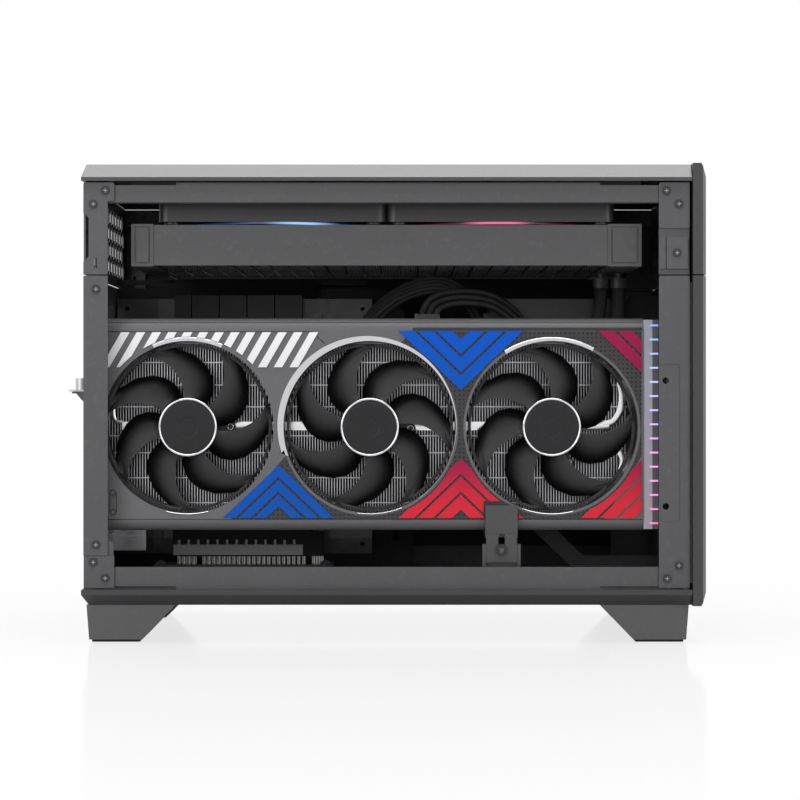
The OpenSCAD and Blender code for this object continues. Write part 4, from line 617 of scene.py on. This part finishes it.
def sleeve(points, radius, corners):
    """A round tube along the points, with a UV map whose U is the length in metres."""
    curve = bpy.data.curves.new("sleeve", "CURVE")
    curve.dimensions = "3D"
    curve.bevel_depth = radius
    curve.bevel_resolution = max(1, corners // 4 - 1)
    curve.use_fill_caps = True
    line = curve.splines.new("POLY")
    line.points.add(len(points) - 1)
    for point, spot in zip(line.points, points):
        point.co = (*spot, 1.0)
    piece = bpy.data.objects.new("sleeve", curve)
    bpy.context.scene.collection.objects.link(piece)
    only(piece)
    bpy.ops.object.convert(target="MESH")
    piece = bpy.context.object
    mesh = piece.data
    layer = mesh.uv_layers.new(name="along")
    travelled = [0.0]
    for a, b in zip(points, points[1:]):
        travelled.append(travelled[-1] + (Vector(b) - Vector(a)).length)
    ring = len(mesh.vertices) // len(points)
    for face in mesh.polygons:
        turns = [(mesh.loops[i].vertex_index % ring) / ring for i in face.loop_indices]
        wraps = max(turns) - min(turns) > 0.5
        for i, turn in zip(face.loop_indices, turns):
            place = min(mesh.loops[i].vertex_index // ring, len(points) - 1)
            layer.data[i].uv = (travelled[place], turn + 1.0 if wraps and turn < 0.5 else turn)
    return piece


def flat_pipe(name, high, *spots):
    """A pipe pressed flat, along spots in a plane of constant Y."""
    pipe = sleeve(through([(x, pipe_y, z) for x, z in spots], 6), high / 2, 16)
    pipe.scale.y = pipe_thick / high
    pipe.location.y = pipe_y * (1 - pipe_thick / high)
    settle(pipe, name, nickel, "case", 60)


pipe_y, pipe_thick = -0.0580, 0.0008
flat_pipe("heat_pipe_across", 0.0056,
          (-0.1640, 0.1309), (-0.0900, 0.1309), (0.0500, 0.1309), (0.1380, 0.1309))
flat_pipe("heat_pipe_rear", 0.0026,
          (-0.1640, 0.1335), (-0.1680, 0.1343), (-0.1695, 0.1375), (-0.1695, 0.1420))
flat_pipe("heat_pipe_front", 0.0046,
          (0.1340, 0.1318), (0.1405, 0.1335), (0.1450, 0.1405), (0.1462, 0.1500), (0.1450, 0.1580))
flat_pipe("heat_pipe_low", 0.0040, (0.1440, 0.1160), (0.1468, 0.1100), (0.1455, 0.1035))


# The shroud's face is dressed with thin inlays of dark plastic with a grid of dimples, raised
# ribs, and fine panel lines. All are pressed on to the face.
def cut_plate(name, low, high, front, thick, material, *cuts):
    """A flat plate in the XZ plane, trimmed along slanting lines and cut out round the fans."""
    plate = new_block((low[0], front, low[1]), (high[0], front + thick, high[1]))
    bpy.ops.object.mode_set(mode="EDIT")
    for spot, normal in cuts:
        bpy.ops.mesh.select_all(action="SELECT")
        bpy.ops.mesh.bisect(plane_co=(spot[0], 0, spot[1]), plane_no=(normal[0], 0, normal[1]),
                            use_fill=True, clear_outer=True)
    bpy.ops.object.mode_set(mode="OBJECT")
    for fan_x in card_fans.values():
        cutter = cylinder((fan_x, front, fan_height), rim_radius, thick * 8)
        hole = plate.modifiers.new("hole", "BOOLEAN")
        hole.operation = "DIFFERENCE"
        hole.object = cutter
        apply_only(plate, hole)
        bpy.data.objects.remove(cutter, do_unlink=True)
    settle(plate, name, material, "case", 20)


def straight_line(name, start, end, width, front):
    """A thin raised line on the shroud's face between two places, with rounded edges."""
    run, rise = end[0] - start[0], end[1] - start[1]
    bpy.ops.object.select_all(action="DESELECT")
    bpy.ops.mesh.primitive_cube_add(
        size=1.0, rotation=(0, -math.atan2(rise, run), 0),
        location=((start[0] + end[0]) / 2, front + line_thick / 2, (start[1] + end[1]) / 2),
        scale=(math.hypot(run, rise), line_thick, width))
    line = bpy.context.object
    bpy.ops.object.transform_apply(location=True, rotation=True, scale=True)
    bpy.ops.object.mode_set(mode="EDIT")
    bpy.ops.mesh.select_all(action="SELECT")
    bpy.ops.mesh.bevel(offset=line_edge, segments=2, affect="EDGES")
    settle(line, name, line_dark, "case", 20)


dot_pitch, dot_radius = 0.0027, 0.00055
inlay_plastic, inlay_place = new_finish("inlay_plastic", (0.022, 0.022, 0.024), 0.46,
                                        Specular_IOR_Level=0.35)
dot_x, dot_z = [along(inlay_place, axis) % dot_pitch - dot_pitch / 2 for axis in (0, 2)]
dimple = 1 - step(dot_x * dot_x + dot_z * dot_z, dot_radius ** 2 * 0.6, dot_radius ** 2 * 1.3)
feed(inlay_plastic, "Base Color", paint(dimple, (0.030, 0.030, 0.032), (0.003, 0.003, 0.003)))
raise_grain(inlay_plastic, 1 - dimple, 0.0003)
rim_radius = 0.0542
inlay_front, inlay_thick, inlay_low = -0.0768, 0.0004, 0.0743
rib_front, rib_thick = -0.0771, 0.0007
cut_plate("shroud_inlay_front", (-0.0102, inlay_low), (0.1556, 0.1890), inlay_front, inlay_thick,
          inlay_plastic, ((0.0068, 0.1800), (-0.707, 0.707)), ((0.1556, 0.1130), (0.86, -0.50)),
          ((0.1556, 0.1640), (1.0, 0.0)))
cut_plate("shroud_inlay_rear", (-0.0970, inlay_low), (-0.0102, 0.1180), inlay_front, inlay_thick,
          inlay_plastic, ((-0.0613, 0.1125), (-0.752, 0.659)))
cut_plate("shroud_rib", (-0.1010, inlay_low), (-0.0540, 0.1190), rib_front, rib_thick,
          shroud_coat, ((-0.0660, 0.1125), (-0.752, 0.659)), ((-0.0618, 0.1125), (0.752, -0.659)))
line_thick, line_edge = 0.0003, 0.0001
line_dark, _ = grained("panel_line", (0.008, 0.008, 0.009), (0.014, 0.014, 0.015), 0.55,
                       fine_grain, 0.00002)
for name, start, end, width, front in (
        ("panel_line_top", (-0.1700, 0.1887), (-0.0450, 0.1887), 0.0006, -0.0766),
        ("panel_line_slant", (-0.0452, 0.1888), (-0.0376, 0.1812), 0.0006, -0.0766),
        ("panel_line_edge", (-0.1780, 0.1942), (0.1560, 0.1942), 0.0005, -0.0753),
        ("panel_line_foot", (-0.1780, 0.0741), (0.1560, 0.0741), 0.0005, -0.0766),
        ("panel_groove_front", (0.0160, 0.1903), (0.1562, 0.1903), 0.0019, -0.0767)):
    straight_line(name, start, end, width, front)

# The outline of a closed slot, with a ring at each end, marks the shroud's lower rear corner.
# Its two sides are drawn like the panel lines.
slot_x, slot_low, slot_high, slot_half = -0.1669, 0.0785, 0.0905, 0.0020
slot_ring, slot_line = 0.0017, 0.0005
for name, z in (("low", slot_low), ("high", slot_high)):
    ring = turned_ring((slot_x, face_y - 0.0001, z), slot_ring, slot_line, slot_line, steps=32)
    settle(ring, "strap_ring_" + name, line_dark, "case", 60)
for side in (-1, 1):
    edge_x = slot_x + side * slot_half
    straight_line("strap_edge_%d" % (side + 2), (edge_x, slot_low), (edge_x, slot_high), 0.0004,
                  face_y - 0.0002)


# Decoration of the shroud: printed bars and chevrons under a clear semi-gloss coat. The blue
# and red ones grow lighter towards the long edges.
def printed(name, near, far, near_z, far_z):
    """A printed colour that turns from one to another between two heights."""
    material, place = new_finish(name, near, 0.30, Specular_IOR_Level=0.15)
    feed(material, "Base Color", paint(step(along(place, 2), near_z, far_z), near, far))
    raise_grain(material, noise(place, 2400.0), 0.00001)
    return material


coat(printed("print_blue", (0.004, 0.075, 0.38), (0.002, 0.080, 0.48), 0.135, 0.186),
     "gpu_trim_blue")
coat(printed("print_red", (0.28, 0.010, 0.060), (0.60, 0.022, 0.040), 0.116, 0.080),
     "gpu_trim_red")
coat(printed("print_white", (0.70, 0.70, 0.72), (0.78, 0.78, 0.80), 0.160, 0.190),
     "gpu_trim_white")

# The card's front end carries a milky light bar with glowing strokes across it. They run from
# blue at the top through violet to pink at the bottom.
bar_low, bar_high, stroke_back = 0.0672, 0.1970, -0.07595
bar_stops = ((0.0, (0.90, 0.10, 0.42, 1)), (0.22, (0.85, 0.22, 0.62, 1)),
             (0.48, (0.62, 0.36, 0.95, 1)), (0.70, (0.45, 0.50, 1.0, 1)),
             (0.90, (0.20, 0.42, 1.0, 1)), (1.0, (0.10, 0.30, 1.0, 1)))
bar_glow, bar_place = new_finish("light_bar", (0.42, 0.42, 0.45), 0.30, Emission_Strength=1.0)
bar_up = (along(bar_place, 2) - bar_low) / (bar_high - bar_low)
bar_colour = bar_up.node("ValToRGB", {"stops": bar_stops}, {0: bar_up})
stroke = along(bar_place, 1) < stroke_back
feed(bar_glow, "Base Color", paint(stroke, (0.36, 0.36, 0.39), (0.30, 0.26, 0.34)))
feed(bar_glow, "Emission Color", paint(0.05 + stroke * 0.95, (0.0, 0.0, 0.0), bar_colour))
coat(bar_glow, "gpu_light_bar")


# The card's boards are dark glass-fibre laminate with a soldered, lacquered surface. Fine
# tracks run under the lacquer.
def laminate(name, pitch, across, up):
    """Dark lacquered board with faint tracks in two directions."""
    material, place = new_finish(name, board_black, 0.34, Coat_Weight=0.2)
    one, two = [from_middle(along(place, axis), pitch) < 0.16 for axis in (across, up)]
    turned = noise(place, 60.0, 1.0) > 0.5
    tracks = (one * turned + two * (1 - turned)) * (noise(place, 130.0, 1.0) > 0.46)
    feed(material, "Base Color", paint(tracks, board_black, board_track))
    raise_grain(material, tracks, 0.00005)
    return material


board_black, board_track = (0.012, 0.013, 0.015), (0.026, 0.028, 0.032)
coat(laminate("board_laminate", 0.0012, 0, 2), "gpu_board", "main_board")
coat(laminate("riser_laminate", 0.0014, 0, 1), "riser_board")


# The backplate is a dark anodised aluminium sheet with a brushed face. The card's bracket and
# the shells of the rear sockets are bare brushed metal.
def brushed(name, dark, light, roughness, lengthways=0):
    """Metal brushed along one axis."""
    material, place = new_finish(name, dark, roughness, Metallic=1.0)
    stretch = [25.0 if axis == lengthways else 900.0 for axis in range(3)]
    drawn = place.node("Mapping", inputs={0: place, "Scale": stretch})
    lines = noise(drawn, 1.0, 3.0)
    feed(material, "Base Color", paint(lines, dark, light))
    feed(material, "Roughness", roughness - 0.06 + lines * 0.14)
    raise_grain(material, lines, 0.00001)
    return material


coat(brushed("backplate_metal", (0.045, 0.045, 0.048), (0.085, 0.085, 0.090), 0.38),
     "gpu_backplate")
coat(brushed("bracket_steel", (0.42, 0.42, 0.43), (0.60, 0.60, 0.62), 0.30, 2), "gpu_bracket")
coat(brushed("socket_shells", (0.36, 0.36, 0.38), (0.56, 0.56, 0.58), 0.28), "io_ports")

# The heat sinks on the main board have a matte black coat, and the sockets and plugs are
# moulded in black nylon.
sink_coat, _ = grained("sink_coat", (0.014, 0.014, 0.015), (0.024, 0.024, 0.026), 0.40,
                       1400.0, 0.00003, Specular_IOR_Level=0.25)
coat(sink_coat, "board_heatsink")
nylon, _ = grained("slot_nylon", (0.014, 0.014, 0.015), (0.026, 0.026, 0.028), 0.32,
                   fine_grain, 0.00002)
coat(nylon, "front_ports", "power_inlet")

# The riser's slot is a black block over a row of bright contacts. A pale grey plate with a row
# of teeth along its top stands before it, and the latch at its end is a paler grey.
contact_pitch, contacts_top = 0.00107, 0.0468
slot_grey, slot_place = grained("slot_moulding", (0.016, 0.016, 0.017), (0.024, 0.024, 0.025),
                                0.50, fine_grain, 0.00002, Specular_IOR_Level=0.12)
gaps = step(from_middle(along(slot_place, 0), contact_pitch), 0.20, 0.34)
on_block = paint(noise(slot_place, 900.0), (0.006, 0.006, 0.006), (0.010, 0.010, 0.010))
on_contacts = paint(gaps, (0.80, 0.79, 0.76), (0.05, 0.05, 0.05))
feed(slot_grey, "Base Color", paint(along(slot_place, 2) < contacts_top, on_block, on_contacts))
coat(slot_grey, "riser_slot")
plate_grey, _ = grained("slot_plate_grey", (0.25, 0.25, 0.258), (0.31, 0.31, 0.32), 0.42,
                        fine_grain, 0.00002)
plate_rear, plate_end, plate_low, plate_high = -0.1370, -0.0540, 0.0477, 0.0543
plate_y, plate_back = -0.0160, -0.0150
tooth_rear, tooth_end, tooth_low, tooth_high = -0.13405, -0.13255, 0.0540, 0.0574
tooth_pitch, tooth_count = 0.00615, 13
slot_plate = new_block((tooth_rear, plate_y, tooth_low), (tooth_end, plate_back, tooth_high))
in_a_row(slot_plate, tooth_pitch, tooth_count)
bpy.ops.object.mode_set(mode="EDIT")
add_block((plate_rear, plate_y, plate_low), (plate_end, plate_back, plate_high))
settle(slot_plate, "slot_plate", plate_grey, "case", 20)
latch_grey, _ = grained("latch_plastic", (0.16, 0.16, 0.165), (0.22, 0.22, 0.225), 0.40,
                        fine_grain, 0.00003)
coat(latch_grey, "slot_latch")

# The radiator has a black painted core of flat tubes with folded fins between them, and a
# black tank at each end.
radiator_paint, _ = grained("radiator_paint", (0.060, 0.060, 0.063), (0.095, 0.095, 0.099), 0.40,
                            1100.0, 0.00004)
coat(radiator_paint, "radiator")
tube_pitch, fold_pitch = 0.0093, 0.0016
core_paint, core_place = new_finish("core_fins", (0.020, 0.020, 0.022), 0.42, Metallic=0.4)
on_tube = from_middle(along(core_place, 1), tube_pitch) < 0.09
folds = from_middle(along(core_place, 0), fold_pitch)
feed(core_paint, "Base Color", paint(step(folds, 0.12, 0.34) * (1 - on_tube),
                                     (0.014, 0.014, 0.015), (0.075, 0.075, 0.080)))
raise_grain(core_paint, folds, 0.0004)
coat(core_paint, "radiator_core")

# Two square fans lie on the radiator, moulded in black plastic. Their frames and rotors and
# the supply's rotor share one satin finish.
fan_plastic, _ = grained("fan_plastic", (0.016, 0.016, 0.017), (0.028, 0.028, 0.030), 0.40,
                         1600.0, 0.00003)
coat(fan_plastic, "radiator_fan_rear", "radiator_fan_front")
for which in ("rear", "front"):
    smooth_copy("radiator_rotor_" + which, "radiator_blades_" + which, fan_plastic,
                "radiator_fan_rotor_" + which)
smooth_copy("psu_rotor", "supply_blades", fan_plastic, "supply_fan")

# A ring of milky plastic under each radiator fan is lit from within. The rear ring glows blue
# and the front one red and pink, each with a brighter stretch near its middle.
hot_rear, hot_front = -0.052, 0.068
ring_glow, glow_place = new_finish("ring_light", (0.10, 0.10, 0.12), 0.35, Emission_Strength=1.0)
glow_x = along(glow_place, 0)
hot_blue = 1 - step(abs(glow_x - hot_rear), 0.003, 0.026)
hot_red = 1 - step(abs(glow_x - hot_front), 0.008, 0.024)
blue = paint(hot_blue, (0.004, 0.018, 0.11), (0.30, 0.60, 1.0))
red = paint(hot_red, (0.045, 0.003, 0.012), (0.80, 0.10, 0.28))
feed(ring_glow, "Emission Color", paint(step(glow_x, -0.02, 0.02), blue, red))
coat(ring_glow, "light_rings")

# The pump sits on the processor: a black housing that bolts to the main board, with a copper
# plate under it.
pump_coat, _ = grained("pump_housing", (0.014, 0.014, 0.015), (0.028, 0.028, 0.030), 0.30,
                       fine_grain, 0.00002)
coat(pump_coat, "pump_block")

# The power supply is a steel box with a satin black coat, its own fan, and a row of sockets
# towards the board.
supply_coat, _ = grained("supply_coat", (0.022, 0.022, 0.024), (0.040, 0.040, 0.042), 0.44,
                         2200.0, 0.00003)
coat(supply_coat, "psu_body")


# Two rubber hoses in a tight black braid join the pump to the radiator's front tank. They rise
# together behind the card.
def sleeved(name, dark, light, strands, pitch):
    """A braided sleeve: two sets of slanting threads over and under each other, read from the
    hose's own UV map, with U along it and V round it."""
    material, _ = new_finish(name, dark, 0.55)
    tree = material.node_tree
    flat = Wire(tree, tree.nodes.new("ShaderNodeUVMap").outputs[0])
    length, turn = along(flat, 0) / pitch, along(flat, 1) * strands
    one, two = [abs(slant % 1.0 - 0.5) for slant in (length + turn, length - turn)]
    braid = flat.sum_of("MAXIMUM", one, two)
    feed(material, "Base Color", paint(step(braid, 0.25, 0.5), dark, light))
    raise_grain(material, braid, 0.0003)
    return material


def curve_points(start, rise, lean, end, count):
    """Points on one smooth curve between two places, given the pulls at its two ends."""
    a, b, c, d = (Vector(p) for p in (start, rise, lean, end))
    return [a * (1 - t) ** 3 + 3 * b * t * (1 - t) ** 2 + 3 * c * t * t * (1 - t) + d * t ** 3
            for t in (i / (count - 1) for i in range(count))]


hose_radius, stub = 0.0043, 0.002
hose_braid = sleeved("hose_braid", (0.010, 0.010, 0.011), (0.060, 0.060, 0.064), 12.0, 0.0024)
hose_starts = ((-0.0604, 0.0045, 0.1205), (-0.0604, 0.0045, 0.1385))
hose_ends = ((0.1500, -0.0005, 0.2195), (0.1385, -0.0005, 0.2195))
for number, (start, end) in enumerate(zip(hose_starts, hose_ends), 1):
    start, end = Vector(start), Vector(end)
    across, up = end.x - start.x, end.z - start.z
    points = curve_points(start + Vector((stub, 0, 0)), start + Vector((0.75 * across, 0, 0)),
                          end - Vector((0, 0, 0.85 * up)), end - Vector((0, 0, stub)), 56)
    hose = sleeve([start, *points, end], hose_radius, 24)
    settle(hose, "coolant_hose_%d" % number, hose_braid, "case", 60)
    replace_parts(hose, "coolant_hoses")


# The power cables are bundles of single wires in a woven black sleeve, with a moulded plug at
# each end. One bundle runs from the supply to the board and one to the card.
def beside(points, first, shift):
    """The same curve moved sideways: shift along a carried direction and square to it."""
    headings = [(points[min(i + 1, len(points) - 1)] - points[max(i - 1, 0)]).normalized()
                for i in range(len(points))]
    side, moved = Vector(first), []
    for point, heading in zip(points, headings):
        side = (side - heading * side.dot(heading)).normalized()
        moved.append(point + side * shift[0] + heading.cross(side) * shift[1])
    return moved


cable_weave = sleeved("cable_weave", (0.012, 0.012, 0.013), (0.050, 0.050, 0.054), 6.0, 0.0016)
board_run = through(((-0.0204, 0.0155, 0.1825), (-0.0184, 0.0045, 0.1865),
                     (-0.0074, 0.0005, 0.2030), (0.0106, -0.0085, 0.2160),
                     (0.0326, -0.0135, 0.2210), (0.0506, -0.0045, 0.2130),
                     (0.0626, 0.0175, 0.1960)), 8)
card_run = through(((0.0256, -0.0245, 0.2000), (0.0316, -0.0225, 0.2090),
                    (0.0476, -0.0165, 0.2130), (0.0696, -0.0065, 0.2100),
                    (0.0866, -0.0015, 0.1950), (0.0836, -0.0005, 0.1750),
                    (0.0596, 0.0015, 0.1700), (0.0521, 0.0115, 0.1680),
                    (0.0626, 0.0185, 0.1670)), 8)
board_wire, board_gap, card_wire, card_gap = 0.0014, 0.003, 0.0019, 0.0043
wires = [(board_run, (0, 0, 1), ((i - 1.5) * board_gap, (j - 0.5) * board_gap), board_wire)
         for i in range(4) for j in range(2)]
wires += [(card_run, (1, 0, 0), (i * card_gap, 0.0), card_wire) for i in (-1, 0, 1)]
for number, (run, first, shift, radius) in enumerate(wires, 1):
    wire = sleeve(beside(run, first, shift), radius, 12)
    settle(wire, "power_wire_%02d" % number, cable_weave, "case", 60)
    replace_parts(wire, "power_cables")


def ribbed_plug(name, low, high, ribs, rib_axis):
    """A moulded plug between two corners, with round edges and a row of grip ribs cut in."""
    plug = new_block(low, high)
    bpy.ops.object.mode_set(mode="EDIT")
    bpy.ops.mesh.select_all(action="SELECT")
    bpy.ops.mesh.bevel(offset=plug_edge, segments=3, affect="EDGES")
    start, width = low[rib_axis], (high[rib_axis] - low[rib_axis]) / (2 * ribs)
    for cut in range(1, 2 * ribs):
        spot, normal = [0.0, 0.0, 0.0], [0.0, 0.0, 0.0]
        spot[rib_axis], normal[rib_axis] = start + width * cut, 1.0
        bpy.ops.mesh.select_all(action="SELECT")
        bpy.ops.mesh.bisect(plane_co=spot, plane_no=normal)
    bpy.ops.object.mode_set(mode="OBJECT")

    def in_groove(face):
        number = (face.center[rib_axis] - start) / width
        between = 0.5 < number < 2 * ribs - 0.5 and int(number) % 2 == 1
        return between and abs(face.normal[rib_axis]) < 0.2

    pick(plug, in_groove)
    bpy.ops.mesh.inset(thickness=groove_inset, depth=-groove_deep, use_individual=False)
    return settle(plug, name, nylon, "case")


plug_edge, groove_inset, groove_deep = 0.0006, 0.00006, 0.00036
for name, low, high, ribs, rib_axis in (
        ("board_plug", (-0.0254, 0.0135, 0.1505), (-0.0154, 0.0255, 0.1985), 10, 2),
        ("card_plug", (0.0176, -0.0295, 0.1916), (0.0336, -0.0195, 0.2020), 4, 0),
        ("supply_plug_high", (0.0611, 0.0138, 0.1835), (0.0749, 0.0232, 0.2045), 5, 2),
        ("supply_plug_low", (0.0611, 0.0138, 0.1565), (0.0749, 0.0232, 0.1775), 5, 2)):
    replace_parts(ribbed_plug(name, low, high, ribs, rib_axis), "power_cables")

# A flat grey-black ribbon of fine wires joins the front sockets to the board. Its wires show
# as fine ridges along it.
wire_pitch = 0.00127
ribbon_grey, ribbon_place = new_finish("ribbon_wires", (0.020, 0.020, 0.022), 0.42)
ridge = from_middle(along(ribbon_place, 2), wire_pitch)
feed(ribbon_grey, "Base Color", paint(ridge > 0.36, (0.030, 0.030, 0.032), (0.010, 0.010, 0.011)))
raise_grain(ribbon_grey, ridge, 0.0002)
coat(ribbon_grey, "front_cable")
